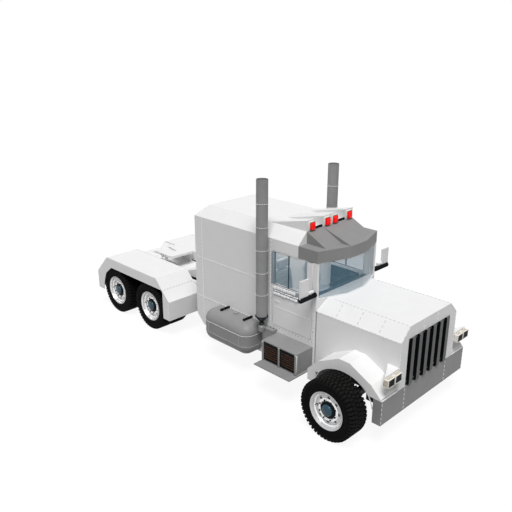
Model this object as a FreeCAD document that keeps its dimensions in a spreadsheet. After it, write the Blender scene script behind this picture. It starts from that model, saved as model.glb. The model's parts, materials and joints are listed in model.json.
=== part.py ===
import FreeCAD, Part
import Sketcher
import os
import re

# Semi truck tractor unit: conventional cab with sleeper, tandem rear axles and a tilting hood.
# Millimetres. +X forward, +Y left, +Z up; the origin is on the ground under the middle.
# A name that ends in _at is a distance behind the bumper's face, in the direction of -X.

SIZES = [
    # name, value, what it is
    ("front_x", 3765, "bumper face ahead of the origin"),
    ("part_gap", 8, "gap round a door and between hood and bumper"),
    # frame
    ("frame_half", 390, "outer face of a frame rail from the middle"),
    ("rail_flange", 80, "flange width of a rail"),
    ("rail_wall", 9, "wall of a rail"),
    ("rail_low", 700, "underside of the rails"),
    ("rail_top", 970, "top of the rails"),
    ("rail_end_at", 7500, "rear end of the rails"),
    ("member_length", 80, "crossmember along the frame"),
    ("member_height", 200, "crossmember height"),
    ("tow_plate_half", 150, "half width of the tow plate"),
    ("tow_plate_thick", 20, "thickness of the tow plate"),
    ("fender_bracket", 120, "length of a fender bracket"),
    ("cab_mount", 120, "length of a cab mount"),
    # bumper
    ("bumper_depth", 150, "front to back"),
    ("bumper_half", 1200, "half width"),
    ("bumper_low", 400, "bottom edge"),
    ("bumper_top", 800, "top edge"),
    ("bumper_wall", 10, "plate thickness"),
    ("bumper_bracket_low", 705, "underside of the bumper brackets"),
    ("bumper_bracket_top", 785, "top of the bumper brackets"),
    # hood and nose
    ("hood_half", 800, "half width"),
    ("hood_top_half", 600, "half width of the flat top"),
    ("hood_top", 1800, "height of the flat top"),
    ("hood_slope", 200, "height of the sloping top corners"),
    ("hood_end_at", 1575, "rear edge of the hood's sides"),
    ("hood_skin", 8, "moulding thickness"),
    ("hood_skirt_at", 1400, "front of the low quarter panel"),
    ("hood_skirt_low", 606, "bottom of the low quarter panel"),
    ("nose_wall", 12, "thickness of the nose panel"),
    ("grille_half", 600, "half width of the grille opening"),
    ("nose_band", 200, "nose panel above the grille opening"),
    ("grille_bar_width", 84, "width of a grille bar"),
    ("grille_bar_depth", 66, "depth of a grille bar"),
    ("grille_bar_proud", 30, "how far a bar stands ahead of the nose"),
    ("grille_bar_low", 826, "bottom of the bars"),
    ("grille_rail", 26, "height of the rails that carry the bars"),
    # front fenders
    ("fender_half", 1200, "outer side of every fender"),
    ("fender_skin", 9, "fender thickness"),
    ("arch_gap", 60, "between a front tyre and the fender's opening"),
    ("fender_clearance", 200, "top of the fenders above the tyres"),
    ("fender_drop", 392, "edge behind the wheel below the top of the fenders"),
    ("fender_leg_low", 606, "bottom of the rear leg of a front fender"),
    ("fender_leg", 160, "length of the rear leg"),
    # headlights
    ("lamp_inner", 826, "inner side of a headlight housing"),
    ("lamp_outer", 1170, "outer side of a headlight housing"),
    ("lamp_low", 1040, "bottom of a headlight housing"),
    ("lamp_top", 1170, "top of a headlight housing"),
    ("lamp_proud", 70, "how far the lamps stand ahead of the bumper"),
    ("lamp_depth", 95, "housing depth"),
    ("lamp_groove", 16, "groove between a pair of lamps"),
    ("lamp_shelf", 200, "length of the shelf that carries the lamps"),
    ("lamp_shelf_thick", 30, "thickness of that shelf"),
    # radiator and engine
    ("radiator_at", 130, "front of the radiator"),
    ("radiator_depth", 90, "radiator thickness"),
    ("radiator_half", 560, "half width"),
    ("radiator_under", 110, "top of the radiator below the hood's top"),
    ("engine_at", 480, "front of the engine"),
    ("engine_length", 1090, "engine length"),
    ("engine_half", 300, "half width"),
    ("engine_low", 600, "bottom"),
    ("engine_under", 240, "top of the engine below the hood's top"),
    ("engine_foot", 100, "length of an engine foot"),
    ("foot_thick", 30, "thickness of an engine foot"),
    ("gearbox_length", 720, "gearbox length"),
    ("gearbox_half", 190, "half width"),
    ("gearbox_low", 560, "bottom"),
    ("gearbox_top", 940, "top"),
    ("shaft_radius", 45, "drive shaft radius"),
    ("shaft_height", 640, "drive shaft height"),
    # cab and sleeper
    ("cab_half", 800, "half width of cab and sleeper"),
    ("cab_wall", 60, "thickness of doors, walls and roof"),
    ("cab_front_at", 1600, "front wall of the cab"),
    ("cowl_front_at", 1400, "front of the faceted windshield"),
    ("cowl_flat_half", 200, "half width of the middle facet"),
    ("cowl_thick", 200, "cowl depth"),
    ("roof_front_at", 2000, "front edge of the roof"),
    ("sleeper_at", 2600, "joint between cab and sleeper"),
    ("sleeper_end_at", 4600, "rear wall of the sleeper"),
    ("tail_slope", 200, "run of the slopes at the rear of the sleeper"),
    ("cab_low", 600, "bottom edge of the cab's sides"),
    ("sleeper_low", 400, "bottom edge of the sleeper's sides"),
    ("floor_low", 1010, "underside of the floor"),
    ("floor_thick", 20, "floor thickness"),
    ("belt_height", 1800, "bottom edge of the windows"),
    ("header_low", 2400, "bottom edge of the roof header"),
    ("roof_edge", 2600, "side edge of the roof"),
    ("roof_top", 2800, "top of the raised roof"),
    ("roof_top_half", 600, "half width of the raised roof's top"),
    ("tunnel_half", 500, "half width of the opening for the frame in the rear wall"),
    # doors
    ("door_front_at", 1680, "front edge of the door opening"),
    ("door_rear_at", 2560, "rear edge of the door opening"),
    ("door_low", 1040, "bottom edge of the door opening"),
    ("window_front_at", 1880, "front edge of a door window"),
    ("window_rear_at", 2514, "rear edge of a door window"),
    ("window_top", 2354, "top edge of a door window"),
    ("glass_thick", 10, "window glass thickness"),
    ("screen_inset", 12, "windshield behind the header's face"),
    ("screen_thick", 14, "windshield thickness"),
    ("screen_margin", 6, "gap between windshield and pillar"),
    # roof header, lamps and fairings
    ("header_wall", 20, "wall of the roof header"),
    ("header_wedge_short", 400, "length of the side wedges"),
    ("header_wedge_long", 600, "length of the middle wedge"),
    ("fairing_length", 800, "length of a roof fairing"),
    ("fairing_height", 180, "height of a roof fairing at its front"),
    ("marker_width", 120, "width of a roof lamp"),
    ("marker_height", 130, "height of a roof lamp"),
    ("marker_depth", 40, "depth of a roof lamp"),
    ("marker_low", 2808, "bottom of the roof lamps"),
    ("marker_inner", 100, "middle of an inner roof lamp"),
    ("marker_outer", 490, "middle of an outer roof lamp"),
    ("fairing_inner", 400, "inner side of the outer fairings"),
    # mirrors and bars
    ("mirror_at", 1608, "middle of a mirror"),
    ("mirror_gap", 200, "between the cab and a mirror's inner edge"),
    ("mirror_width", 195, "mirror width"),
    ("mirror_height", 300, "mirror height"),
    ("mirror_thick", 24, "mirror thickness"),
    ("mirror_arm_height", 1890, "height of a mirror arm"),
    ("bar_radius", 18, "radius of mirror arms and bars"),
    # exhaust
    ("stack_at", 2700, "middle of an exhaust stack"),
    ("stack_gap", 20, "gap between a stack and the cab"),
    ("stack_radius", 100, "stack radius"),
    ("stack_wall", 6, "stack wall"),
    ("stack_low", 1200, "bottom of the straight pipe"),
    ("stack_top", 3600, "top of the stack"),
    ("stack_bead", 4, "how far a joint bead stands proud"),
    ("stack_section", 400, "length of one pipe section"),
    ("elbow_low", 892, "bottom of the elbow"),
    ("elbow_radius", 62, "elbow radius"),
    ("neck_radius", 32, "neck radius"),
    ("flange_thick", 30, "flange thickness"),
    ("flange_reach", 260, "flange length"),
    # tanks, boxes, steps
    ("tank_at", 2800, "front end of a tank"),
    ("tank_length", 1200, "tank length"),
    ("tank_outer", 1200, "outer side of a tank"),
    ("tank_low", 400, "bottom of a tank"),
    ("tank_top", 1000, "top of a tank"),
    ("tank_corner", 200, "corner radius seen from above"),
    ("tank_round", 190, "rounding of the top and bottom edges"),
    ("box_at", 1640, "front of a side box"),
    ("box_end_at", 2410, "rear of a side box"),
    ("box_low", 560, "bottom of a side box"),
    ("box_top", 933, "top of a side box"),
    ("box_outer", 1200, "outer side of a side box"),
    ("box_round", 18, "rounding of the columns"),
    ("louvre_width", 326, "width of a louvre opening"),
    ("louvre_low", 580, "bottom of a louvre opening"),
    ("louvre_top", 912, "top of a louvre opening"),
    ("louvre_depth", 45, "depth of a louvre opening"),
    ("louvre_plate", 5, "thickness of louvre plate and slats"),
    ("louvre_slats", 8, "number of slats in one opening"),
    ("step_outer", 1400, "outer edge of a step"),
    ("step_thick", 20, "step thickness"),
    # rear of the frame
    ("deck_at", 4660, "front of the deck"),
    ("deck_end_at", 5150, "rear of the deck plate"),
    ("deck_thick", 12, "deck plate thickness"),
    ("wedge_half", 240, "half width of the deck fairing"),
    ("wedge_length", 1100, "length of the deck fairing"),
    ("wedge_height", 400, "height of the deck fairing"),
    ("rear_fender_at", 5000, "front of a rear fender"),
    ("rear_fender_end_at", 7600, "rear of a rear fender"),
    ("rear_fender_inner", 400, "inner side of a rear fender"),
    ("rear_fender_low", 400, "bottom of a rear fender"),
    ("rear_fender_leg", 800, "height where the end slopes start"),
    ("rear_fender_wall", 8, "side wall of a rear fender"),
    ("rear_band", 200, "height of the band over the wheels"),
    ("coupler_at", 6300, "middle of the fifth wheel"),
    ("coupler_half", 320, "half width of the fifth wheel"),
    ("coupler_front", 300, "fifth wheel ahead of its middle"),
    ("coupler_rear", 400, "fifth wheel behind its middle"),
    ("coupler_ramp", 130, "length of its sloping rear edge"),
    ("coupler_top", 1290, "top of the fifth wheel"),
    ("coupler_thick", 50, "plate thickness"),
    ("coupler_round", 90, "corner radius of the plate"),
    ("kingpin_radius", 27, "kingpin hole radius"),
    ("throat_half", 110, "half width of the throat at the rear"),
    ("pivot_height", 1160, "height of the fifth wheel's pivot"),
    ("pivot_radius", 22, "pivot pin radius"),
    ("pivot_gap", 0.5, "running clearance of a pin"),
    ("lug_gap", 6, "gap between a plate lug and a frame lug"),
    ("lug_thick", 40, "lug thickness"),
    ("lug_radius", 55, "lug radius"),
    ("tail_lamp_width", 160, "tail lamp width"),
    ("tail_lamp_height", 110, "tail lamp height"),
    ("tail_lamp_depth", 45, "tail lamp depth"),
    ("tail_lamp_outer", 350, "outer edge of a tail lamp"),
    # axles and wheels
    ("front_axle_at", 710, "front axle"),
    ("rear_axle_at", 5700, "first rear axle"),
    ("axle_spacing", 1200, "between the two rear axles"),
    ("tyre_radius", 500, "tyre radius and wheel centre height"),
    ("rim_seat", 286, "radius of the bead seats"),
    ("rim_flange", 310, "radius of the rim flanges"),
    ("rim_wall", 10, "rim wall"),
    ("flange_lip", 12, "width of a rim flange"),
    ("rim_inset", 15, "rim behind the tyre's side"),
    ("steer_tyre_inner", 1210, "inner side of a front tyre"),
    ("steer_tyre_width", 385, "front tyre width"),
    ("drive_tyre_inner", 540, "inner side of the inner rear tyre"),
    ("drive_tyre_width", 305, "rear tyre width"),
    ("dual_gap", 30, "gap between twin tyres"),
    ("tyre_shoulder", 45, "rounding of a tyre's shoulder"),
    ("tyre_bulge", 26, "how far the sidewall stands out from the bead"),
    ("hub_radius", 105, "hub radius"),
    ("hub_bore", 50, "bearing bore of a hub"),
    ("hub_gap", 18, "gap between a front hub and the knuckle"),
    ("disc_thick", 16, "wheel disc thickness"),
    ("steer_disc_depth", 60, "front wheel disc behind the rim's edge"),
    ("cap_radius", 95, "hub cap radius"),
    ("cap_length", 60, "hub cap length"),
    ("hand_holes", 8, "number of hand holes in a disc"),
    ("hand_hole_radius", 26, "hand hole radius"),
    ("hand_hole_circle", 200, "radius of the hand hole circle"),
    ("spindle_radius", 45, "spindle radius"),
    ("kingpin_inset", 40, "steering axis outboard of the front tyre's inner side"),
    ("steer_pin_radius", 20, "steering kingpin radius"),
    ("beam_half_depth", 50, "half depth of the front axle beam"),
    ("beam_under", 70, "bottom of the front axle beam below the wheel's centre"),
    ("beam_over", 30, "top of the front axle beam above the wheel's centre"),
    ("eye_radius", 44, "radius of the eye at each beam end"),
    ("eye_gap", 6, "gap between eye and knuckle arms"),
    ("arm_thick", 40, "thickness of a knuckle arm"),
    ("yoke_reach", 52, "from the steering axis to the knuckle's upright"),
    ("yoke_thick", 40, "upright thickness"),
    ("spring_inner", 325, "inner side of a leaf spring"),
    ("spring_width", 60, "leaf spring width"),
    ("spring_reach", 480, "front spring from its middle to its end"),
    ("spring_thick", 40, "leaf pack thickness"),
    ("axle_tube_radius", 65, "rear axle tube radius"),
    ("axle_ball_radius", 185, "differential housing radius"),
    ("walking_beam_height", 70, "height of the rear beam"),
    ("walking_beam_low", 610, "underside of the rear beam"),
    # inside the cab
    ("dash_depth", 190, "dashboard depth"),
    ("dash_low", 1480, "bottom of the dashboard"),
    ("dash_top", 1785, "top of the dashboard"),
    ("seat_y", 390, "middle of a seat"),
    ("seat_at", 2140, "front of a seat"),
    ("seat_width", 480, "seat width"),
    ("seat_length", 480, "seat length"),
    ("seat_height", 1400, "top of a seat cushion"),
    ("seat_pad", 130, "cushion thickness"),
    ("seat_base", 300, "width of the pedestal"),
    ("seat_back_top", 2080, "top of a seat back"),
    ("seat_back_thick", 110, "back thickness"),
    ("seat_recline", 90, "how far the back's top leans back"),
    ("steering_at", 2010, "middle of the steering wheel"),
    ("steering_height", 1700, "height of the steering wheel"),
    ("steering_radius", 225, "steering wheel radius"),
    ("steering_rim", 15, "thickness radius of its rim"),
    ("steering_tilt", 35, "tilt of the wheel in degrees"),
    ("column_length", 290, "steering column length"),
]

doc = FreeCAD.newDocument("SemiTruckTractor")
sheet = doc.addObject("Spreadsheet::Sheet", "Sizes")
for row, (name, value, meaning) in enumerate(SIZES, 1):
    sheet.set(f"A{row}", name)
    sheet.set(f"B{row}", str(value))
    sheet.setAlias(f"B{row}", name)
    sheet.set(f"C{row}", meaning)
doc.recompute()

NAMES = {name for name, value, meaning in SIZES}
SIDES = (("left", 1), ("right", -1))
LEVEL = FreeCAD.Rotation()
ALONG_X = FreeCAD.Rotation(FreeCAD.Vector(0, 1, 0), 90)
ALONG_Y = FreeCAD.Rotation(FreeCAD.Vector(1, 0, 0), -90)
# A sketch's own axes in each plane: XZ is seen from the right, YZ from the front.
PLANES = {
    "XY": (LEVEL, FreeCAD.Vector(0, 0, 1), "z"),
    "XZ": (FreeCAD.Rotation(FreeCAD.Vector(1, 0, 0), 90), FreeCAD.Vector(0, 1, 0), "y"),
    "YZ": (FreeCAD.Rotation(FreeCAD.Vector(1, 1, 1), 120), FreeCAD.Vector(1, 0, 0), "x"),
}
# Places worked out from sizes, each used by more than one piece.
MIRROR_IN = "(cab_half + mirror_gap)"
SHOULDER = "(hood_top - hood_slope)"
GRILLE_TOP = "(hood_top - nose_band)"
STACK_Y = "(cab_half + stack_gap + stack_radius)"
KINGPIN_Y = "(steer_tyre_inner + kingpin_inset)"
HUB_START = "(kingpin_inset + yoke_reach + yoke_thick + hub_gap)"
CREST = "(2 * tyre_radius + fender_clearance)"
BEAM_LOW = "(tyre_radius - beam_under)"
BEAM_TOP = "(tyre_radius + beam_over)"
nodes = []


def cells(expression):
    """The expression with each size name pointing into the spreadsheet."""
    return re.sub(r"[A-Za-z_]\w*", lambda word: "Sizes." + word.group() if word.group() in NAMES
                  else word.group(), str(expression))


def bind(item, prop, expression):
    item.setExpression(prop, cells(expression))


def size(name):
    return float(sheet.get(name))


def minus(expression):
    return f"-({expression})"


def across(half):
    """Y range of a piece centred on the middle plane."""
    return (minus(half), half)


def side(inner, outer, sign):
    """Y range between two distances from the middle, on one side."""
    return (inner, outer) if sign > 0 else (minus(outer), minus(inner))


def behind(near, far):
    """X range between two distances behind the bumper's face."""
    return (f"front_x - ({far})", f"front_x - ({near})")


def at(distance):
    return f"front_x - ({distance})"


def place(item, x="0", y="0", z="0", rotation=LEVEL):
    item.Placement = FreeCAD.Placement(FreeCAD.Vector(0, 0, 0), rotation)
    bind(item, "Placement.Base.x", x)
    bind(item, "Placement.Base.y", y)
    bind(item, "Placement.Base.z", z)
    return item


def box(name, x, y, z):
    item = doc.addObject("Part::Box", name)
    for prop, (low, high) in zip(("Length", "Width", "Height"), (x, y, z)):
        bind(item, prop, f"({high}) - ({low})")
    return place(item, x[0], y[0], z[0])


def cylinder(name, radius, length, x, y, z, rotation=LEVEL):
    item = doc.addObject("Part::Cylinder", name)
    bind(item, "Radius", radius)
    bind(item, "Height", length)
    return place(item, x, y, z, rotation)


def outline(name, plane, start, points):
    """A closed sketch through points, each a pair of expressions in the plane's own axes."""
    rotation, normal, axis = PLANES[plane]
    sketch = doc.addObject("Sketcher::SketchObject", name)
    draw(sketch, points)
    where = {"x": "0", "y": "0", "z": "0"}
    where[axis] = start
    place(sketch, where["x"], where["y"], where["z"], rotation)
    return sketch


def draw(sketch, points):
    rough = [FreeCAD.Vector(value_of(u), value_of(v), 0) for u, v in points]
    for index, point in enumerate(rough):
        sketch.addGeometry(Part.LineSegment(point, rough[(index + 1) % len(rough)]), False)
    for index in range(len(rough)):
        sketch.addConstraint(Sketcher.Constraint("Coincident", index, 2, (index + 1) % len(rough), 1))
    for index, (u, v) in enumerate(points):
        for kind, expression, value in (("DistanceX", u, rough[index].x), ("DistanceY", v, rough[index].y)):
            number = sketch.addConstraint(Sketcher.Constraint(kind, -1, 1, index, 1, value))
            sketch.setExpression(f"Constraints[{number}]", cells(expression))


def value_of(expression):
    return float(sheet.evalExpression(cells(expression).replace("Sizes.", "")))


def prism(name, plane, span, points, inset=None):
    """The outline pushed from span[0] to span[1]; inset moves every side inwards first."""
    sketch = outline(name + "_outline", plane, span[0], points)
    if inset is not None:
        inner = doc.addObject("Part::Offset2D", name + "_inset")
        inner.Source = sketch
        inner.Join = "Intersection"
        bind(inner, "Value", minus(inset))
        sketch = inner
    item = doc.addObject("Part::Extrusion", name)
    item.Base = sketch
    item.DirMode = "Custom"
    item.Dir = PLANES[plane][1]
    item.Solid = True
    bind(item, "LengthFwd", f"({span[1]}) - ({span[0]})")
    return item


def fuse(name, pieces):
    item = doc.addObject("Part::MultiFuse", name)
    item.Shapes = pieces
    item.Refine = True
    return item


def cut(name, base, tools):
    item = doc.addObject("Part::Cut", name)
    item.Base = base
    item.Tool = tools[0] if len(tools) == 1 else fuse(name + "_tools", tools)
    item.Refine = True
    return item


def group(name, pieces):
    """Like pieces of one body that don't touch, kept in one node."""
    item = doc.addObject("Part::Compound", name)
    item.Links = pieces
    return item


def mirrored(name, base):
    item = doc.addObject("Part::Mirroring", name)
    item.Source = base
    item.Normal = FreeCAD.Vector(0, 1, 0)
    return item


def pair(name, base):
    return group(name, [base, mirrored(name + "_other", base)])


def node(label, item):
    item.Label = label
    nodes.append(item)
    return item


# ---- frame, engine and bumper ----

def frame():
    pieces = []
    for word, sign in SIDES:
        rail = box(f"rail_{word}", behind("bumper_depth + 10", "rail_end_at"),
                   side("frame_half - rail_flange", "frame_half", sign), ("rail_low", "rail_top"))
        hollow = box(f"rail_hollow_{word}", behind("bumper_depth", "rail_end_at + 10"),
                     side("frame_half - rail_flange - 1", "frame_half - rail_wall", sign),
                     ("rail_low + rail_wall", "rail_top - rail_wall"))
        pieces.append(cut(f"rail_channel_{word}", rail, [hollow]))
        # Brackets between rails and rear fenders: where, and how high the fender is there.
        for index, (where, top) in enumerate((
                ("rear_fender_at + fender_bracket", "rear_fender_leg"),
                ("rear_axle_at + axle_spacing / 2", f"{CREST} - rear_band / 2"))):
            pieces.append(box(f"fender_bracket_{word}_{index}",
                              behind(f"{where} - fender_bracket / 2", f"{where} + fender_bracket / 2"),
                              side("frame_half", "rear_fender_inner", sign),
                              ("rail_low + rail_wall", f"{top} + 60")))
        pieces.append(coupler_support(word, sign))
    for index, where in enumerate(("door_front_at", "sleeper_at - cab_mount",
                                   "sleeper_end_at - 2 * cab_mount")):
        for word, sign in SIDES:
            pieces.append(box(f"cab_mount_{word}_{index}", behind(where, f"{where} + cab_mount"),
                              side("frame_half - rail_flange", "frame_half", sign),
                              ("rail_top", "floor_low")))
    middle = "(rail_low + rail_top) / 2"
    for index, where in enumerate(("bumper_depth + 60", "sleeper_at", "sleeper_end_at - 500",
                                   "rear_fender_at",
                                   "coupler_at", "rail_end_at - member_length / 2")):
        pieces.append(box(f"crossmember_{index}",
                          behind(f"{where} - member_length / 2", f"{where} + member_length / 2"),
                          across("frame_half - rail_wall"),
                          (f"{middle} - member_height / 2", f"{middle} + member_height / 2")))
    pieces.append(box("tow_plate", behind("rail_end_at", "rail_end_at + tow_plate_thick"),
                      across("tow_plate_half"),
                      (f"{middle} - member_height / 2", f"{middle} + member_height / 2")))
    return node("frame", fuse("frame", pieces))


def coupler_support(word, sign):
    """Upright on a rail with the round lug that carries one end of the fifth wheel's pivot."""
    inner = "frame_half - rail_flange"
    upright = prism(f"coupler_upright_{word}", "XZ", side(inner, f"{inner} + lug_thick", sign), [
        (at("coupler_at + 170"), "rail_top"), (at("coupler_at - 170"), "rail_top"),
        (at("coupler_at - lug_radius"), "pivot_height"), (at("coupler_at + lug_radius"), "pivot_height")])
    start = side(inner, f"{inner} + lug_thick", sign)[0]
    lug = cylinder(f"coupler_lug_{word}", "lug_radius", "lug_thick", at("coupler_at"), start, "pivot_height",
                   ALONG_Y)
    bore = cylinder(f"coupler_lug_bore_{word}", "pivot_radius + pivot_gap", "lug_thick + 20",
                    at("coupler_at"),
                    f"{start} - 10", "pivot_height", ALONG_Y)
    return cut(f"coupler_stand_{word}", fuse(f"coupler_solid_{word}", [upright, lug]), [bore])


def front_bumper():
    block = box("bumper_block", behind("0", "bumper_depth"), across("bumper_half"),
                ("bumper_low", "bumper_top"))
    hollow = box("bumper_hollow", behind("bumper_wall", "bumper_depth + 10"),
                 across("bumper_half - bumper_wall"),
                 ("bumper_low + bumper_wall", "bumper_top - bumper_wall"))
    pieces = [cut("bumper_shell", block, [hollow])]
    for word, sign in SIDES:
        pieces.append(box(f"bumper_bracket_{word}", behind("bumper_wall", "bumper_depth + 10"),
                          side("frame_half - rail_flange", "frame_half", sign),
                          ("bumper_bracket_low", "bumper_bracket_top")))
    return node("front_bumper", fuse("front_bumper", pieces))


def radiator():
    core = box("radiator_core", behind("radiator_at", "radiator_at + radiator_depth"),
               across("radiator_half"),
               ("rail_top", "hood_top - radiator_under"))
    return node("radiator", core)


def engine_block():
    block = box("engine_main", behind("engine_at", "engine_at + engine_length"), across("engine_half"),
                ("engine_low", "hood_top - engine_under"))
    gearbox = box("gearbox",
                  behind("engine_at + engine_length", "engine_at + engine_length + gearbox_length"),
                  across("gearbox_half"), ("gearbox_low", "gearbox_top"))
    feet = [box(f"engine_feet_{index}", behind(where, f"{where} + engine_foot"), across("frame_half - 10"),
                ("rail_top", "rail_top + foot_thick"))
            for index, where in enumerate(("engine_at + engine_foot",
                                           "engine_at + engine_length - 2 * engine_foot"))]
    return node("engine_block", fuse("engine_block", [block, gearbox] + feet))


# ---- hood, fenders, grille and lamps: they tilt together ----

def hood():
    section = [(minus("hood_half"), "bumper_top + part_gap"), (minus("hood_half"), SHOULDER),
               (minus("hood_top_half"), "hood_top"), ("hood_top_half", "hood_top"),
               ("hood_half", SHOULDER), ("hood_half", "bumper_top + part_gap")]
    skin = prism("hood_outside", "YZ", behind("0", "cab_front_at"), section)
    hollow = prism("hood_inside", "YZ", behind("nose_wall", "cab_front_at + 10"), section, "hood_skin")
    belly = box("hood_belly", behind("nose_wall", "cab_front_at + 10"), across("hood_half - hood_skin"),
                ("bumper_top", f"{SHOULDER} - 50"))
    mouth = box("grille_mouth", behind("-10", "nose_wall + 10"), across("grille_half"),
                ("bumper_top", GRILLE_TOP))
    back = box("hood_back", behind("hood_end_at", "cab_front_at + 20"), across("hood_half + 10"),
               ("bumper_top", "belt_height - cowl_thick - part_gap"))
    # Above the shoulder the hood ends along the faceted cowl.
    facets = prism("hood_facets", "XY", ("belt_height - cowl_thick - part_gap - 1", "hood_top + 20"), [
        (at("cab_front_at + 20"), minus("cab_half + 10")), (at("cab_front_at - part_gap"), minus("cab_half")),
        (at("cowl_front_at - part_gap"), minus("cowl_flat_half")),
        (at("cowl_front_at - part_gap"), "cowl_flat_half"),
        (at("cab_front_at - part_gap"), "cab_half"), (at("cab_front_at + 20"), "cab_half + 10")])
    shell = cut("hood_cut", skin, [hollow, belly, mouth, back, facets])
    pieces = [shell]
    for word, sign in SIDES:
        pieces.append(box(f"hood_skirt_{word}", behind("hood_skirt_at", "hood_end_at"),
                          side("hood_half - hood_skin", "hood_half", sign),
                          ("hood_skirt_low", "bumper_top + part_gap + 10")))
    return node("hood", fuse("hood", pieces))


def front_fenders():
    """Moulded arches: a sloping nose, a flat crest and a rear leg, with a round wheel opening."""
    low = "bumper_top + part_gap"
    profile = [(at("0"), low), (at("200"), f"{CREST} - 200"), (at("600"), CREST),
               (at("800"), CREST), (at("1200"), f"{CREST} - 200"),
               (at("hood_skirt_at"), f"{CREST} - 400"), (at("hood_skirt_at"), "fender_leg_low"),
               (at("hood_skirt_at - fender_leg"), "fender_leg_low"),
               (at("hood_skirt_at - fender_leg"), f"{CREST} - fender_drop")]
    outside = prism("fender_outside", "XZ", ("hood_half", "fender_half"), profile)
    inside = prism("fender_inside", "XZ", ("hood_half - 1", "fender_half - fender_skin"), profile,
                   "fender_skin")
    across_inside = ("hood_half - 1", "fender_half - fender_skin")
    under = box("fender_under", behind("fender_skin", "hood_skirt_at - fender_leg"), across_inside,
                (f"{CREST} - fender_drop - 10", f"{CREST} - fender_drop + 20"))
    leg_under = box("fender_leg_under",
                    behind("hood_skirt_at - fender_leg + fender_skin", "hood_skirt_at - fender_skin"),
                    across_inside, ("fender_leg_low - 10", "fender_leg_low + 20"))
    arch = cylinder("fender_arch", "tyre_radius + arch_gap", "fender_half", at("front_axle_at"),
                    "hood_half - 1",
                    "tyre_radius", ALONG_Y)
    return node("front_fenders",
                pair("front_fenders", cut("fender_left", outside, [inside, under, leg_under, arch])))


def grille_bars():
    """Six upright bars on two cross rails behind the mouth."""
    span = behind(minus("grille_bar_proud"), "grille_bar_depth - grille_bar_proud")
    pieces = []
    for index in range(6):
        middle = f"grille_half * {(2 * index - 5) / 6:.6f}"
        pieces.append(box(f"grille_bar_{index}", span,
                          (f"{middle} - grille_bar_width / 2", f"{middle} + grille_bar_width / 2"),
                          ("grille_bar_low", GRILLE_TOP)))
    for index, low in enumerate(("grille_bar_low + grille_rail", f"{GRILLE_TOP} - 2 * grille_rail")):
        pieces.append(box(f"grille_rail_{index}", behind("nose_wall", "grille_bar_depth - grille_bar_proud"),
                          across("grille_half + 30"), (low, f"{low} + grille_rail")))
    return node("grille", fuse("grille", pieces))


def headlights():
    """A pair of square lamps each side on a three-cornered shelf beside the nose."""
    block = box("lamp_block", behind(minus("lamp_proud"), "lamp_depth - lamp_proud"),
                ("lamp_inner", "lamp_outer"),
                ("lamp_low", "lamp_top"))
    middle = "(lamp_inner + lamp_outer) / 2"
    groove = box("lamp_groove_cut", behind("-lamp_proud - 5", "-lamp_proud + 30"),
                 (f"{middle} - lamp_groove / 2", f"{middle} + lamp_groove / 2"),
                 ("lamp_low - 5", "lamp_top + 5"))
    shelf = prism("lamp_shelf_plate", "XY", ("lamp_top", "lamp_top + lamp_shelf_thick"), [
        (at("0"), "hood_half"), (at("lamp_shelf"), "hood_half"), (at("0"), "lamp_outer")])
    return node("headlights",
                pair("headlights", fuse("lamp_left", [cut("lamp_pair", block, [groove]), shelf])))


# ---- cab, sleeper, doors and windows ----

def roof_ridge(name, span, wall):
    """Raised part of the roof, or the hollow below it, as a section pushed along X."""
    edge = f"cab_half - {wall}"
    top = f"roof_top_half - {wall}"
    return prism(name, "YZ", span, [
        (minus(edge), f"roof_edge - {wall}"), (minus(top), f"roof_top - {wall}"), (top, f"roof_top - {wall}"),
        (edge, f"roof_edge - {wall}")])


def cab_shell():
    low = box("cab_low_body", behind("cab_front_at", "sleeper_at"), across("cab_half"),
              ("cab_low", "header_low"))
    high = box("cab_high_body", behind("roof_front_at", "sleeper_at"), across("cab_half"),
               ("header_low", "roof_edge"))
    ridge = roof_ridge("cab_ridge", behind("roof_front_at", "sleeper_at"), "0")
    inner = f"cab_half - cab_wall"
    room = box("cab_room", behind("cab_front_at + cab_wall", "sleeper_at + 10"), across(inner),
               ("floor_low + floor_thick", "roof_edge - cab_wall"))
    loft = roof_ridge("cab_loft", behind("roof_front_at + cab_wall", "sleeper_at + 10"), "cab_wall")
    under = box("cab_under", behind("cab_front_at - 10", "sleeper_at + 10"), across(inner),
                ("cab_low - 10", "floor_low"))
    screen = box("screen_opening", behind("cab_front_at - 10", "cab_front_at + cab_wall + 10"), across(inner),
                 ("belt_height", "header_low + 10"))
    doorways = [box(f"doorway_{word}", behind("door_front_at", "door_rear_at"),
                    side(f"{inner} - 5", "cab_half + 10", sign), ("door_low", "header_low"))
                for word, sign in SIDES]
    front_tops = box("pillar_top_trim", behind("cab_front_at - 5", "roof_front_at"), across("cab_half + 5"),
                     ("header_low", "header_low + 50"))
    shell = cut("cab_cut", fuse("cab_body", [low, high, ridge]),
                [room, loft, under, screen, front_tops] + doorways)
    cowl = prism("cowl", "XY", ("belt_height - cowl_thick", "belt_height"), [
        (at("cab_front_at + 1"), minus("cab_half")), (at("cab_front_at"), minus("cab_half")),
        (at("cowl_front_at"), minus("cowl_flat_half")), (at("cowl_front_at"), "cowl_flat_half"),
        (at("cab_front_at"), "cab_half"), (at("cab_front_at + 1"), "cab_half")])
    return node("cab_shell", fuse("cab_shell", [shell, cowl]))


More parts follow.
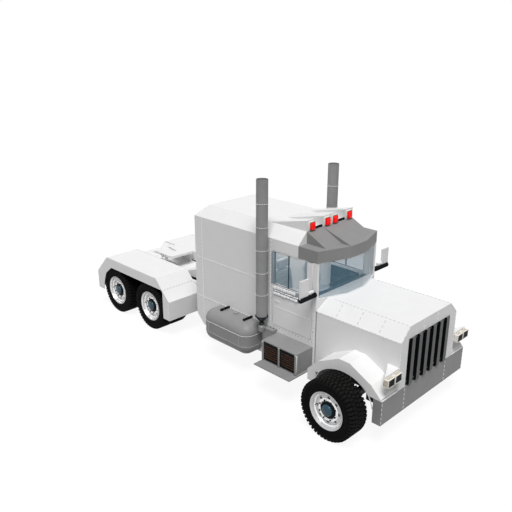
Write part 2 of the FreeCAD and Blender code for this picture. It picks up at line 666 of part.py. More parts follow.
def sleeper_shell():
    end = "sleeper_end_at"
    body = prism("sleeper_body", "XZ", across("cab_half"), [
        (at("sleeper_at"), "sleeper_low"), (at("sleeper_at"), "roof_edge"), (at(end), "roof_edge"),
        (at(end), "sleeper_low + tail_slope"), (at(f"{end} - tail_slope"), "sleeper_low")])
    ridge = roof_ridge("sleeper_ridge", behind("sleeper_at", end), "0")
    slope = prism("sleeper_slope", "XZ", across("cab_half + 10"), [
        (at(f"{end} - tail_slope"), "roof_top"), (at(end), "roof_edge"), (at(f"{end} + 20"), "roof_edge"),
        (at(f"{end} + 20"), "roof_top + 10"), (at(f"{end} - tail_slope"), "roof_top + 10")])
    inner = "cab_half - cab_wall"
    room = box("sleeper_room", behind("sleeper_at - 10", f"{end} - cab_wall"), across(inner),
               ("floor_low + floor_thick", "roof_edge - cab_wall"))
    loft = roof_ridge("sleeper_loft", behind("sleeper_at - 10", f"{end} - tail_slope - cab_wall"), "cab_wall")
    under = box("sleeper_under", behind("sleeper_at - 10", f"{end} - cab_wall"), across(inner),
                ("sleeper_low - 10", "floor_low"))
    tunnel = box("sleeper_tunnel", behind("sleeper_at - 10", f"{end} + 10"), across("tunnel_half"),
                 ("sleeper_low - 10", "floor_low"))
    return node("sleeper_shell", cut("sleeper_shell", fuse("sleeper_solid", [body, ridge]),
                                     [slope, room, loft, under, tunnel]))


def doors():
    for word, sign in SIDES:
        wall = side("cab_half - cab_wall", "cab_half", sign)
        panel = box(f"door_panel_{word}", behind("door_front_at + part_gap", "door_rear_at - part_gap"), wall,
                    ("door_low + part_gap", "header_low - part_gap"))
        hole = box(f"window_hole_{word}", behind("window_front_at", "window_rear_at"),
                   side("cab_half - cab_wall - 5", "cab_half + 5", sign), ("belt_height", "window_top"))
        node(f"door_{word}", cut(f"door_{word}", panel, [hole]))
        middle = "cab_half - cab_wall / 2"
        node(f"door_glass_{word}", box(
            f"door_glass_{word}", behind("window_front_at", "window_rear_at"),
            side(f"{middle} - glass_thick / 2", f"{middle} + glass_thick / 2", sign),
            ("belt_height", "window_top")))


def windshield():
    """Three upright facets in one sheet, behind the header's face and between the pillars."""
    half = "cab_half - cab_wall - screen_margin"
    run = "(cab_front_at - cowl_front_at) / (cab_half - cowl_flat_half)"
    points = []
    for thick, turn in (("0", 1), ("screen_thick", -1)):
        near = at(f"cab_front_at - (cab_half - ({half})) * {run} + screen_inset + {thick}")
        front = at(f"cowl_front_at + screen_inset + {thick}")
        face = [(near, minus(half)), (front, minus("cowl_flat_half")), (front, "cowl_flat_half"),
                (near, half)]
        points.extend(face[::turn])
    return node("windshield", prism("windshield", "XY", ("belt_height", "header_low"), points))


def roof_header():
    """Grey band over the windshield with sloping wedges on top, hollow below."""
    plan = [(at("roof_front_at"), minus("cab_half")), (at("cab_front_at"), minus("cab_half")),
            (at("cowl_front_at"), minus("cowl_flat_half")), (at("cowl_front_at"), "cowl_flat_half"),
            (at("cab_front_at"), "cab_half"), (at("roof_front_at"), "cab_half")]
    band = prism("header_band", "XY", ("header_low", "roof_edge"), plan)
    hollow = prism("header_hollow", "XY", ("header_low - 10", "roof_edge - header_wall"), plan, "header_wall")
    back = box("header_back", behind("roof_front_at - header_wall - 5", "roof_front_at + 5"),
               across("cab_half - cab_wall"), ("header_low - 10", "roof_edge - cab_wall"))
    pieces = [cut("header_shell", band, [hollow, back])]
    for index, (low, high, length) in enumerate((
            (minus("roof_top_half"), minus("cowl_flat_half"), "header_wedge_short"),
            (minus("cowl_flat_half"), "cowl_flat_half", "header_wedge_long"),
            ("cowl_flat_half", "roof_top_half", "header_wedge_short"))):
        pieces.append(prism(f"header_wedge_{index}", "XZ", (low, high), [
            (at("roof_front_at"), "roof_edge"), (at("roof_front_at"), "roof_top"),
            (at(f"roof_front_at - {length}"), "roof_edge")]))
    return node("roof_header", fuse("roof_header", pieces))


def signal_lamps():
    """Four lamps in a row on the roof and two at the rear end of the frame."""
    lamps = []
    for index, middle in enumerate(("-marker_outer", "-marker_inner", "marker_inner", "marker_outer")):
        lamps.append(box(f"roof_lamp_{index}", behind("roof_front_at - marker_depth", "roof_front_at"),
                         (f"{middle} - marker_width / 2", f"{middle} + marker_width / 2"),
                         ("marker_low", "marker_low + marker_height")))
    middle = "(rail_low + rail_top) / 2"
    for word, sign in SIDES:
        lamps.append(box(f"tail_lamp_{word}", behind("rail_end_at", "rail_end_at + tail_lamp_depth"),
                         side("tail_lamp_outer - tail_lamp_width", "tail_lamp_outer", sign),
                         (f"{middle} - tail_lamp_height / 2", f"{middle} + tail_lamp_height / 2")))
    return node("signal_lamps", group("signal_lamps", lamps))


def roof_fairings():
    """Long low wedges that carry the lamps on their front faces."""
    wedges = []
    for index, (low, high) in enumerate((
            ("-roof_top_half", "-fairing_inner"), ("-cowl_flat_half", "cowl_flat_half"),
            ("fairing_inner", "roof_top_half"))):
        wedges.append(prism(f"roof_fairing_{index}", "XZ", (low, high), [
            (at("roof_front_at"), "roof_top"), (at("roof_front_at"), "roof_top + fairing_height"),
            (at("roof_front_at + fairing_length"), "roof_top")]))
    return node("roof_fairings", group("roof_fairings", wedges))


# ---- mirrors, bars, exhaust ----

def mirrors():
    heads = []
    for word, sign in SIDES:
        low = "mirror_arm_height + bar_radius"
        plate = box(f"mirror_plate_{word}",
                    behind("mirror_at - mirror_thick / 2", "mirror_at + mirror_thick / 2"),
                    side(MIRROR_IN, f"{MIRROR_IN} + mirror_width", sign), (low, f"{low} + mirror_height"))
        start = side(f"{MIRROR_IN} - 120", MIRROR_IN, sign)[0]
        stub = cylinder(f"mirror_stub_{word}", "bar_radius + 8", "120", at("mirror_at"), start,
                        f"{low} + bar_radius + 30", ALONG_Y)
        foot = cylinder(f"mirror_foot_{word}", "bar_radius", "bar_radius + 30", at("mirror_at"),
                        f"{start} + 60", low)
        heads.append(fuse(f"mirror_{word}", [plate, stub, foot]))
    return node("mirrors", group("mirrors", heads))


def grab_bars():
    """Black round bars: mirror arms, handles on tanks and deck, and the bars between the roof lamps."""
    bars = []
    table = (
        # name, behind the bumper, inner end, outer end, height of the middle
        ("mirror_arm", "mirror_at", "cab_half", f"{MIRROR_IN} + mirror_width", "mirror_arm_height"),
        ("tank_bar_front", "tank_at + 260", "cab_half", "tank_outer - 180", "tank_top + bar_radius"),
        ("tank_bar_rear", "tank_at + 860", "cab_half", "tank_outer - 180", "tank_top + bar_radius"),
        ("deck_bar", "deck_at + 150", "wedge_half", "frame_half", "rail_top + deck_thick + 150"),
        ("roof_bar", "roof_front_at + bar_radius", "cowl_flat_half + 5", "fairing_inner - 5",
         "roof_top + bar_radius"),
    )
    for name, where, inner, outer, height in table:
        for word, sign in SIDES:
            bars.append(cylinder(f"{name}_{word}", "bar_radius", f"({outer}) - ({inner})", at(where),
                                 side(inner, outer, sign)[0], height, ALONG_Y))
    return node("grab_bars", group("grab_bars", bars))


def exhaust_stacks():
    """Open pipes in sections with a bead at each joint."""
    stacks = []
    for word, sign in SIDES:
        middle = STACK_Y if sign > 0 else minus(STACK_Y)
        pieces = [cylinder(f"pipe_{word}", "stack_radius", "stack_top - stack_low", at("stack_at"), middle,
                           "stack_low")]
        for index in range(1, 6):
            pieces.append(cylinder(f"bead_{word}_{index}", "stack_radius + stack_bead", "12", at("stack_at"),
                                   middle, f"stack_low + {index} * stack_section - 6"))
        bore = cylinder(f"pipe_bore_{word}", "stack_radius - stack_wall", "stack_top", at("stack_at"), middle,
                        "stack_low + stack_section")
        stacks.append(cut(f"stack_{word}", fuse(f"stack_solid_{word}", pieces), [bore]))
    return node("exhaust_stacks", group("exhaust_stacks", stacks))


def origin_feature(body, role):
    return next(item for item in body.Origin.OriginFeatures if item.Role == role)


def body_sketch(body, name, role):
    sketch = body.newObject("Sketcher::SketchObject", name)
    sketch.AttachmentSupport = (origin_feature(body, role), "")
    sketch.MapMode = "FlatFace"
    return sketch


def revolved(name, points, role):
    """A body turned from a closed profile of radii and heights (XZ_Plane) or widths (XY_Plane)."""
    body = doc.addObject("PartDesign::Body", name)
    sketch = body_sketch(body, name + "_profile", role)
    draw(sketch, points)
    turn = body.newObject("PartDesign::Revolution", name + "_turned")
    turn.Profile = sketch
    turn.ReferenceAxis = (sketch, ["V_Axis"])
    turn.Angle = 360
    body.Tip = turn
    return body


def stack_bases():
    """Tapered collar, narrow neck, round elbow and the flange to the cab's side."""
    profile = [("0", "elbow_low"), ("elbow_radius - 20", "elbow_low"), ("elbow_radius", "elbow_low + 20"),
               ("elbow_radius", "elbow_low + 100"), ("neck_radius", "elbow_low + 130"),
               ("neck_radius + 22", "elbow_low + 160"), ("neck_radius", "elbow_low + 190"),
               ("stack_radius - 10", "stack_low - 50"), ("stack_radius + 14", "stack_low - 12"),
               ("stack_radius + 14", "stack_low"), ("0", "stack_low")]
    bases = []
    for word, sign in SIDES:
        collar = place(revolved(f"collar_{word}", profile, "XZ_Plane"), at("stack_at"),
                       STACK_Y if sign > 0 else minus(STACK_Y))
        flange = box(f"flange_{word}", behind("stack_at - flange_reach", "stack_at"),
                     side("cab_half", STACK_Y, sign), ("elbow_low + 60", "elbow_low + 60 + flange_thick"))
        bases.append(fuse(f"stack_base_{word}", [collar, flange]))
    return node("stack_bases", group("stack_bases", bases))


# ---- tanks, side boxes and steps ----

def is_upright(edge):
    reach = edge.BoundBox
    return reach.ZLength > 1 and reach.XLength < 1 and reach.YLength < 1


def edges_where(feature, wanted):
    return [f"Edge{index}" for index, edge in enumerate(feature.Shape.Edges, 1) if wanted(edge)]


def fuel_tanks():
    """Rounded tanks: a plan with two round corners, padded up and rounded along top and bottom."""
    body = doc.addObject("PartDesign::Body", "tank_left")
    sketch = body_sketch(body, "tank_plan", "XY_Plane")
    draw(sketch, [("0", "0"), ("tank_length", "0"), ("tank_length", "tank_outer - cab_half"),
                  ("0", "tank_outer - cab_half")])
    pad = body.newObject("PartDesign::Pad", "tank_pad")
    pad.Profile = sketch
    bind(pad, "Length", "tank_top - tank_low")
    doc.recompute()
    ends = body.newObject("PartDesign::Fillet", "tank_corners")
    ends.Base = (pad, edges_where(pad, lambda edge: is_upright(edge) and edge.CenterOfMass.y > 1))
    bind(ends, "Radius", "tank_corner")
    doc.recompute()
    rounds = body.newObject("PartDesign::Fillet", "tank_rounds")
    rounds.Base = (ends, edges_where(ends, lambda edge: not is_upright(edge) and edge.CenterOfMass.y > 1))
    bind(rounds, "Radius", "tank_round")
    body.Tip = rounds
    place(body, at("tank_at + tank_length"), "cab_half", "tank_low")
    return node("fuel_tanks", pair("fuel_tanks", body))


def louvre_spans():
    """Front and rear of the two louvre openings in a side box."""
    middle = "(box_at + box_end_at) / 2"
    post = "((box_end_at - box_at) - 2 * louvre_width) / 3"
    return ((f"{middle} - {post} / 2 - louvre_width", f"{middle} - {post} / 2"),
            (f"{middle} + {post} / 2", f"{middle} + {post} / 2 + louvre_width"))


def side_boxes():
    """Steel boxes between round columns, each on a step that reaches further out."""
    case = box("side_box_case", behind("box_at", "box_end_at"), ("cab_half", "box_outer"),
               ("box_low", "box_top"))
    openings = [box(f"louvre_opening_{index}", behind(near, far),
                    ("box_outer - louvre_depth", "box_outer + 10"),
                    ("louvre_low", "louvre_top")) for index, (near, far) in enumerate(louvre_spans())]
    pieces = [cut("side_box_open", case, openings)]
    for index, where in enumerate(("box_at + box_round", "(box_at + box_end_at) / 2",
                                   "box_end_at - box_round")):
        pieces.append(cylinder(f"side_box_column_{index}", "box_round", "louvre_top - louvre_low", at(where),
                               "box_outer", "louvre_low"))
    pieces.append(box("step", behind("cab_front_at + 10", "box_end_at"), ("cab_half", "step_outer"),
                      ("box_low - step_thick", "box_low")))
    return node("side_boxes", pair("side_boxes", fuse("side_box_left", pieces)))


def box_louvres():
    """Sloping slats on a back plate in each opening."""
    combs = []
    inner = "box_outer - louvre_depth"
    pitch = "(louvre_top - louvre_low) / louvre_slats"
    for opening, (near, far) in enumerate(louvre_spans()):
        span = behind(near, far)
        pieces = [box(f"louvre_back_{opening}", span, (inner, f"{inner} + louvre_plate"),
                      ("louvre_low", "louvre_top"))]
        for index in range(int(size("louvre_slats"))):
            base = f"louvre_low + {index} * {pitch}"
            pieces.append(prism(f"louvre_slat_{opening}_{index}", "YZ", span, [
                (f"{inner} + 1", f"{base} + {pitch} - louvre_plate"), (f"{inner} + 1", f"{base} + {pitch}"),
                ("box_outer - 4", f"{base} + louvre_plate + 2"), ("box_outer - 4", f"{base} + 2")]))
        combs.append(fuse(f"louvre_{opening}", pieces))
    return node("box_louvres", pair("box_louvres", group("louvres_left", combs)))


# ---- rear deck, fifth wheel and rear fenders ----

def rear_deck():
    """Deck plate behind the sleeper with a long low fairing towards the fifth wheel."""
    plate = box("deck_plate", behind("deck_at", "deck_end_at"), across("frame_half"),
                ("rail_top", "rail_top + deck_thick"))
    wedge = prism("deck_wedge", "XZ", across("wedge_half"), [
        (at("deck_at + 20"), "rail_top + deck_thick"),
        (at("deck_at + 20"), "rail_top + deck_thick + wedge_height"),
        (at("deck_at + 20 + wedge_length"), "rail_top + deck_thick + 20"),
        (at("deck_at + 20 + wedge_length"), "rail_top + deck_thick")])
    return node("rear_deck", fuse("rear_deck", [plate, wedge]))


def fifth_wheel():
    """Coupling plate with a sloping rear edge, an open throat, two lugs and the pivot pin."""
    front = at("coupler_at - coupler_front")
    rear = at("coupler_at + coupler_rear")
    side_view = prism("coupler_side", "XZ", across("coupler_half"), [
        (front, "coupler_top - coupler_thick"), (front, "coupler_top"),
        (at("coupler_at + coupler_rear - coupler_ramp"), "coupler_top"),
        (rear, "coupler_top - coupler_thick + 10"),
        (rear, "coupler_top - coupler_thick")])
    low = "coupler_top - coupler_thick - 10"
    tall = "coupler_top + 10"
    throat = prism("coupler_throat", "XY", (low, tall), [
        (at("coupler_at"), minus("kingpin_radius")), (at("coupler_at"), "kingpin_radius"),
        (at("coupler_at + 120"), "kingpin_radius"), (at("coupler_at + coupler_rear + 10"), "throat_half"),
        (at("coupler_at + coupler_rear + 10"), minus("throat_half")),
        (at("coupler_at + 120"), minus("kingpin_radius"))])
    hole = cylinder("kingpin_hole", "kingpin_radius", "coupler_thick + 20", at("coupler_at"), "0", low)
    corners = []
    for word, sign in SIDES:
        corner = "coupler_round" if sign > 0 else minus("coupler_round")
        edge = "coupler_half" if sign > 0 else minus("coupler_half")
        corners.append(prism(f"coupler_corner_{word}", "XY", (low, tall), [
            (at("coupler_at - coupler_front - 5"), f"{edge} - {corner}"),
            (at("coupler_at - coupler_front - 5"), edge),
            (at("coupler_at - coupler_front - 5"), f"({edge}) * 1.05"),
            (at("coupler_at - coupler_front + coupler_round"), f"({edge}) * 1.05"),
            (at("coupler_at - coupler_front + coupler_round"), edge)]))
    pieces = [cut("coupler_plate", side_view, [throat, hole] + corners)]
    inner = "frame_half - rail_flange - lug_thick - lug_gap"
    for word, sign in SIDES:
        pieces.append(prism(f"plate_lug_{word}", "XZ", side(inner, f"{inner} + lug_thick", sign), [
            (at("coupler_at + 120"), "coupler_top - coupler_thick"),
            (at("coupler_at - 120"), "coupler_top - coupler_thick"),
            (at("coupler_at - 40"), "pivot_height - 40"), (at("coupler_at + 40"), "pivot_height - 40")]))
        start = side(inner, "frame_half - rail_flange + lug_thick", sign)[0]
        pieces.append(cylinder(f"pivot_pin_{word}", "pivot_radius",
                               f"frame_half - rail_flange + lug_thick - ({inner})",
                               at("coupler_at"), start, "pivot_height", ALONG_Y))
    return node("fifth_wheel", fuse("fifth_wheel", pieces))


def rear_fenders():
    """One long arch over both axles each side: skin on top and at the ends, walls with the opening."""
    front = "rear_fender_at"
    end = "rear_fender_end_at"
    profile = [(at(front), "rear_fender_low"), (at(front), "rear_fender_leg"),
               (at(f"{front} + 400"), CREST), (at(f"{end} - 400"), CREST),
               (at(end), "rear_fender_leg"), (at(end), "rear_fender_low")]
    outside = prism("rear_fender_outside", "XZ", ("rear_fender_inner", "fender_half"), profile)
    inside = prism("rear_fender_inside", "XZ",
                   ("rear_fender_inner + rear_fender_wall", "fender_half - rear_fender_wall"),
                   profile, "fender_skin")
    open_low = box("rear_fender_open", behind(f"{front} + fender_skin", f"{end} - fender_skin"),
                   ("rear_fender_inner + rear_fender_wall", "fender_half - rear_fender_wall"),
                   ("rear_fender_low - 10", "rear_fender_low + 50"))
    band = f"{CREST} - rear_band"
    opening = prism("rear_fender_opening", "XZ", ("rear_fender_inner - 5", "fender_half + 5"), [
        (at(f"{front} + 200"), "rear_fender_low - 10"), (at(f"{front} + 200"), f"{band} - 40"),
        (at(f"{front} + 240"), band),
        (at(f"{end} - 560"), band), (at(f"{end} - 330"), f"{band} - 180"),
        (at(f"{end} - 230"), f"{band} - 420"), (at(f"{end} - 200"), "rear_fender_low - 10")])
    return node("rear_fenders",
                pair("rear_fenders", cut("rear_fender_left", outside, [inside, open_low, opening])))


# ---- axles, knuckles and wheels ----

def leaf_spring(word, sign):
    """Bowed leaf pack between the axle beam and the rail."""
    reach = "spring_reach"
    return prism(f"leaf_spring_{word}", "XZ", side("spring_inner", "spring_inner + spring_width", sign), [
        (at(f"front_axle_at - {reach}"), "rail_low"),
        (at(f"front_axle_at - {reach}"), "rail_low - spring_thick"),
        (at("front_axle_at - 80"), BEAM_TOP), (at("front_axle_at + 80"), BEAM_TOP),
        (at(f"front_axle_at + {reach}"), "rail_low - spring_thick"),
        (at(f"front_axle_at + {reach}"), "rail_low"),
        (at("front_axle_at + 80"), f"{BEAM_TOP} + spring_thick"),
        (at("front_axle_at - 80"), f"{BEAM_TOP} + spring_thick")])


def front_axle():
    """Beam with an eye for the kingpin at each end, under two leaf springs."""
    beam = box("axle_beam", behind("front_axle_at - beam_half_depth", "front_axle_at + beam_half_depth"),
               across(f"{KINGPIN_Y} - eye_radius + 10"), (BEAM_LOW, BEAM_TOP))
    pieces = [beam]
    bores = []
    for word, sign in SIDES:
        middle = KINGPIN_Y if sign > 0 else minus(KINGPIN_Y)
        pieces.append(cylinder(f"beam_eye_{word}", "eye_radius", f"{BEAM_TOP} - {BEAM_LOW} + 30",
                               at("front_axle_at"),
                               middle, BEAM_LOW))
        pieces.append(leaf_spring(word, sign))
        bores.append(cylinder(f"beam_bore_{word}", "steer_pin_radius + pivot_gap",
                              f"{BEAM_TOP} - {BEAM_LOW} + 60",
                              at("front_axle_at"), middle, f"{BEAM_LOW} - 10"))
    return node("front_axle", cut("front_axle", fuse("front_axle_solid", pieces), bores))


def knuckles():
    """Upright with two arms round the beam's eye, the kingpin and the wheel spindle."""
    low = f"{BEAM_LOW} - eye_gap - arm_thick"
    high = f"{BEAM_TOP} + 30 + eye_gap + arm_thick"
    yoke = f"{KINGPIN_Y} + yoke_reach"
    for word, sign in SIDES:
        middle = KINGPIN_Y if sign > 0 else minus(KINGPIN_Y)
        upright = box(f"knuckle_upright_{word}",
                      behind("front_axle_at - spindle_radius", "front_axle_at + spindle_radius"),
                      side(yoke, f"{yoke} + yoke_thick", sign), (low, high))
        pieces = [upright]
        for name, z in (("lower", low), ("upper", f"{high} - arm_thick")):
            pieces.append(box(f"knuckle_arm_{name}_{word}",
                              behind("front_axle_at - spindle_radius", "front_axle_at + spindle_radius"),
                              side(KINGPIN_Y, yoke, sign), (z, f"{z} + arm_thick")))
            pieces.append(cylinder(f"knuckle_boss_{name}_{word}", "spindle_radius", "arm_thick",
                                   at("front_axle_at"),
                                   middle, z))
        pieces.append(cylinder(f"kingpin_{word}", "steer_pin_radius", f"({high}) - ({low})",
                               at("front_axle_at"),
                               middle, low))
        reach = "steer_tyre_inner + steer_tyre_width - rim_inset - steer_disc_depth - 30"
        pieces.append(cylinder(f"spindle_{word}", "spindle_radius", f"{reach} - ({yoke})",
                               at("front_axle_at"),
                               side(yoke, reach, sign)[0], "tyre_radius", ALONG_Y))
        node(f"knuckle_{word}", fuse(f"knuckle_{word}", pieces))


def rear_axles():
    """Two drive axles with their shafts, joined by a beam under each rail, with stub ends for the hubs."""
    pieces = []
    for name, near, far in (("main_shaft", "engine_at + engine_length + gearbox_length", "rear_axle_at"),
                            ("inter_shaft", "rear_axle_at", "rear_axle_at + axle_spacing")):
        pieces.append(cylinder(name, "shaft_radius", f"({far}) - ({near})", at(far), "0", "shaft_height",
                               ALONG_X))
    hub_face = "drive_tyre_inner + drive_tyre_width"
    for index in (0, 1):
        where = at(f"rear_axle_at + {index} * axle_spacing")
        ball = doc.addObject("Part::Sphere", f"axle_ball_{index}")
        bind(ball, "Radius", "axle_ball_radius")
        pieces.append(place(ball, where, "0", "tyre_radius"))
        pieces.append(cylinder(f"axle_tube_{index}", "axle_tube_radius", "2 * (drive_tyre_inner + 40)", where,
                               minus("drive_tyre_inner + 40"), "tyre_radius", ALONG_Y))
        pieces.append(cylinder(f"axle_stub_{index}", "spindle_radius", f"2 * ({hub_face} - 40)", where,
                               minus(f"{hub_face} - 40"), "tyre_radius", ALONG_Y))
    for word, sign in SIDES:
        y = side("spring_inner", "spring_inner + spring_width", sign)
        pieces.append(box(f"walking_beam_{word}",
                          behind("rear_axle_at - 60", "rear_axle_at + axle_spacing + 60"), y,
                          ("walking_beam_low", "walking_beam_low + walking_beam_height")))
        pieces.append(box(f"beam_saddle_{word}", behind("coupler_at - 80", "coupler_at + 80"), y,
                          ("walking_beam_low", "rail_low")))
        for index in (0, 1):
            middle = f"rear_axle_at + {index} * axle_spacing"
            pieces.append(box(f"axle_seat_{word}_{index}", behind(f"{middle} - 45", f"{middle} + 45"), y,
                              ("tyre_radius", "walking_beam_low + 10")))
    return node("rear_axles", fuse("rear_axles", pieces))


def tyre(name, width, start):
    """Turned tyre: beads on the rim, bulging sidewalls and rounded shoulders."""
    body = revolved(name, [
        ("rim_seat", f"({start}) + tyre_bulge + 10"), ("rim_flange + 3", f"({start}) + tyre_bulge + 2"),
        ("rim_flange + 55", start), ("tyre_radius - 60", start), ("tyre_radius", f"({start}) + 22"),
        ("tyre_radius", f"({start}) + {width} - 22"), ("tyre_radius - 60", f"({start}) + {width}"),
        ("rim_flange + 55", f"({start}) + {width}"),
        ("rim_flange + 3", f"({start}) + {width} - tyre_bulge - 2"),
        ("rim_seat", f"({start}) + {width} - tyre_bulge - 10")], "XY_Plane")
    doc.recompute()
    turned = body.Tip
    shoulders = edges_where(turned, lambda edge: abs(edge.BoundBox.XLength / 2 - size("tyre_radius")) < 1)
    rounding = body.newObject("PartDesign::Fillet", name + "_shoulders")
    rounding.Base = (turned, shoulders)
    bind(rounding, "Radius", "tyre_shoulder")
    body.Tip = rounding
    return body


def rim_profile(wheel):
    """Half section of a rim with its disc and hub; a twin rim has two barrels and a thicker disc."""
    seat_in = "rim_seat - rim_wall"
    lip_in = "rim_flange - flange_lip"

    def outer_lip(edge, turn):
        """Flange at a rim's edge, from seat to lip (turn +1) or from lip to seat (turn -1)."""
        points = [("rim_seat", f"{edge} - 20 * {turn}"), ("rim_flange", f"{edge} - flange_lip * {turn}"),
                  ("rim_flange", edge), (lip_in, edge), (seat_in, f"{edge} - 22 * {turn}")]
        return points if turn > 0 else points[::-1]

    if wheel == "steer":
        disc_in = "steer_tyre_width - rim_inset - steer_disc_depth - disc_thick"
        disc_out = "steer_tyre_width - rim_inset - steer_disc_depth"
        outside = outer_lip("steer_tyre_width - rim_inset", 1)
        middle = []
    else:
        edge = "2 * drive_tyre_width + dual_gap - rim_inset"
        disc_in = "drive_tyre_width"
        disc_out = "drive_tyre_width + dual_gap"
        outside = outer_lip(edge, 1)
        inner_edge = "drive_tyre_width - rim_inset"
        next_edge = "drive_tyre_width + dual_gap + rim_inset"
        middle = [("rim_seat", f"{inner_edge} - 20"), ("rim_flange", f"{inner_edge} - flange_lip"),
                  ("rim_flange", inner_edge), ("rim_seat", f"{inner_edge} + 4"),
                  ("rim_seat", f"{next_edge} - 4"),
                  ("rim_flange", next_edge), ("rim_flange", f"{next_edge} + flange_lip"),
                  ("rim_seat", f"{next_edge} + 20")]
    inside = [(seat_in, "rim_inset + 22"), (lip_in, "rim_inset"), ("rim_flange", "rim_inset"),
              ("rim_flange", "rim_inset + flange_lip"), ("rim_seat", "rim_inset + 20")]
    return ([("hub_bore", HUB_START), ("hub_radius", HUB_START), ("hub_radius", disc_in),
             (seat_in, disc_in)] + inside
            + middle + outside
            + [(seat_in, disc_out), ("cap_radius + 40", disc_out), ("cap_radius + 25", f"{disc_out} + 22"),
               ("cap_radius", f"{disc_out} + 22"), ("cap_radius * 0.7", f"{disc_out} + cap_length - 8"),
               ("0", f"{disc_out} + cap_length"), ("0", f"{disc_out} - 8"), ("hub_bore", f"{disc_out} - 8")],
               disc_in)


def rim(name, wheel):
    """Turned rim with its disc, hub and cap, and a ring of hand holes."""
    points, disc_in = rim_profile(wheel)
    body = revolved(name, points, "XY_Plane")
    doc.recompute()
    sketch = body_sketch(body, name + "_hole", "XZ_Plane")
    sketch.addGeometry(Part.Circle(FreeCAD.Vector(size("hand_hole_circle"), 0, 0), FreeCAD.Vector(0, 0, 1),
                                   size("hand_hole_radius")), False)
    for kind, target, expression in (("DistanceX", (-1, 1, 0, 3), "hand_hole_circle"),
                                     ("Radius", (0,), "hand_hole_radius")):
        number = sketch.addConstraint(Sketcher.Constraint(kind, *target, size(expression)))
        sketch.setExpression(f"Constraints[{number}]", cells(expression))
    sketch.addConstraint(Sketcher.Constraint("PointOnObject", 0, 3, -1))
    hole = body.newObject("PartDesign::Pocket", name + "_hand_hole")
    hole.Profile = sketch
    hole.Type = "ThroughAll"
    hole.Midplane = True
    ring = body.newObject("PartDesign::PolarPattern", name + "_hand_holes")
    ring.Originals = [hole]
    ring.Axis = (origin_feature(body, "Y_Axis"), "")
    ring.Angle = 360
    bind(ring, "Occurrences", "hand_holes")
    body.Tip = ring
    return body


def wheels():
    """Six wheels: one tyre in front, twins behind, each tyre set and rim in its own node."""
    table = (
        # name, behind the bumper, inner side of the wheel, kind
        ("front", "front_axle_at", "steer_tyre_inner", "steer"),
        ("rear_first", "rear_axle_at", "drive_tyre_inner", "drive"),
        ("rear_second", "rear_axle_at + axle_spacing", "drive_tyre_inner", "drive"),
    )
    for name, where, inner, kind in table:
        for word, sign in SIDES:
            turn = LEVEL if sign > 0 else FreeCAD.Rotation(FreeCAD.Vector(0, 0, 1), 180)
            y = inner if sign > 0 else minus(inner)
            label = f"{name}_{word}"
            if kind == "steer":
                rubber = tyre(f"tyre_{label}", "steer_tyre_width", "0")
            else:
                rubber = group(f"tyre_{label}", [
                    tyre(f"tyre_inner_{label}", "drive_tyre_width", "0"),
                    tyre(f"tyre_outer_{label}", "drive_tyre_width", "drive_tyre_width + dual_gap")])
            node(f"tyre_{label}", place(rubber, at(where), y, "tyre_radius", turn))
            node(f"rim_{label}", place(rim(f"rim_{label}", kind), at(where), y, "tyre_radius", turn))


# ---- inside the cab ----

def dashboard_and_steering():
    """Dashboard, and the tilted steering wheel whose column ends on it."""
    back = "cab_front_at + cab_wall"
    deck = prism("dashboard", "XZ", across("cab_half - cab_wall - 5"), [
        (at(back), "dash_low"), (at(back), "dash_top"), (at(f"{back} + dash_depth * 0.6"), "dash_top"),
        (at(f"{back} + dash_depth"), "dash_top - 90"), (at(f"{back} + dash_depth"), "dash_low")])
    node("dashboard", deck)
    ring = doc.addObject("Part::Torus", "steering_ring")
    bind(ring, "Radius1", "steering_radius")
    bind(ring, "Radius2", "steering_rim")
    spokes = box("steering_spokes", ("-18", "18"), across("steering_radius"), ("-8", "8"))
    hub = cylinder("steering_hub", "55", "40", "0", "0", "-20")
    column = cylinder("steering_column", "28", "column_length", "0", "0", minus("column_length"))
    wheel = fuse("steering_solid", [ring, spokes, hub, column])
    tilt = FreeCAD.Rotation(FreeCAD.Vector(0, 1, 0), -size("steering_tilt"))
    place(wheel, at("steering_at"), "seat_y", "steering_height", tilt)
    return node("steering_wheel", cut("steering_wheel", wheel, [deck]))


def seats():
    """Two seats on pedestals: base, cushion and a back that leans a little."""
    seat = []
    wide = ("seat_y - seat_width / 2", "seat_y + seat_width / 2")
    rear = "seat_at + seat_length"
    seat.append(box("seat_cushion", behind("seat_at", f"{rear} + 20"), wide,
                    ("seat_height - seat_pad", "seat_height")))
    seat.append(box("seat_pedestal", behind("seat_at + 80", "seat_at + 80 + seat_base"),
                    ("seat_y - seat_base / 2", "seat_y + seat_base / 2"),
                    ("floor_low + floor_thick", "seat_height - seat_pad")))
    seat.append(prism("seat_back", "XZ", wide, [
        (at(rear), "seat_height - seat_pad"), (at(f"{rear} + seat_recline"), "seat_back_top"),
        (at(f"{rear} + seat_recline + seat_back_thick * 0.6"), "seat_back_top"),
        (at(f"{rear} + seat_back_thick"), "seat_height - seat_pad")]))
    return node("seats", pair("seats", fuse("seat_left", seat)))


for build in (frame, front_bumper, radiator, engine_block, hood, front_fenders, grille_bars, headlights,
              cab_shell, sleeper_shell, doors, windshield, roof_header, signal_lamps, roof_fairings, mirrors,
              grab_bars, exhaust_stacks, stack_bases, fuel_tanks, side_boxes, box_louvres, rear_deck,
              fifth_wheel, rear_fenders, front_axle, knuckles, rear_axles, wheels, dashboard_and_steering,
              seats):
    build()

doc.recompute()
for item in doc.Objects:
    if "Invalid" in item.State or "Error" in item.State:
        raise RuntimeError(f"{item.Name} did not build: {item.State}")
for item in nodes:
    if not item.Shape.isValid() or not item.Shape.Solids:
        raise RuntimeError(f"{item.Label} has no valid solid")

os.makedirs("parts", exist_ok=True)
for item in nodes:
    item.Shape.exportStep(f"parts/{item.Label}.step")
print(len(nodes), "nodes")
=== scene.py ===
import json
import math
import random
from itertools import product

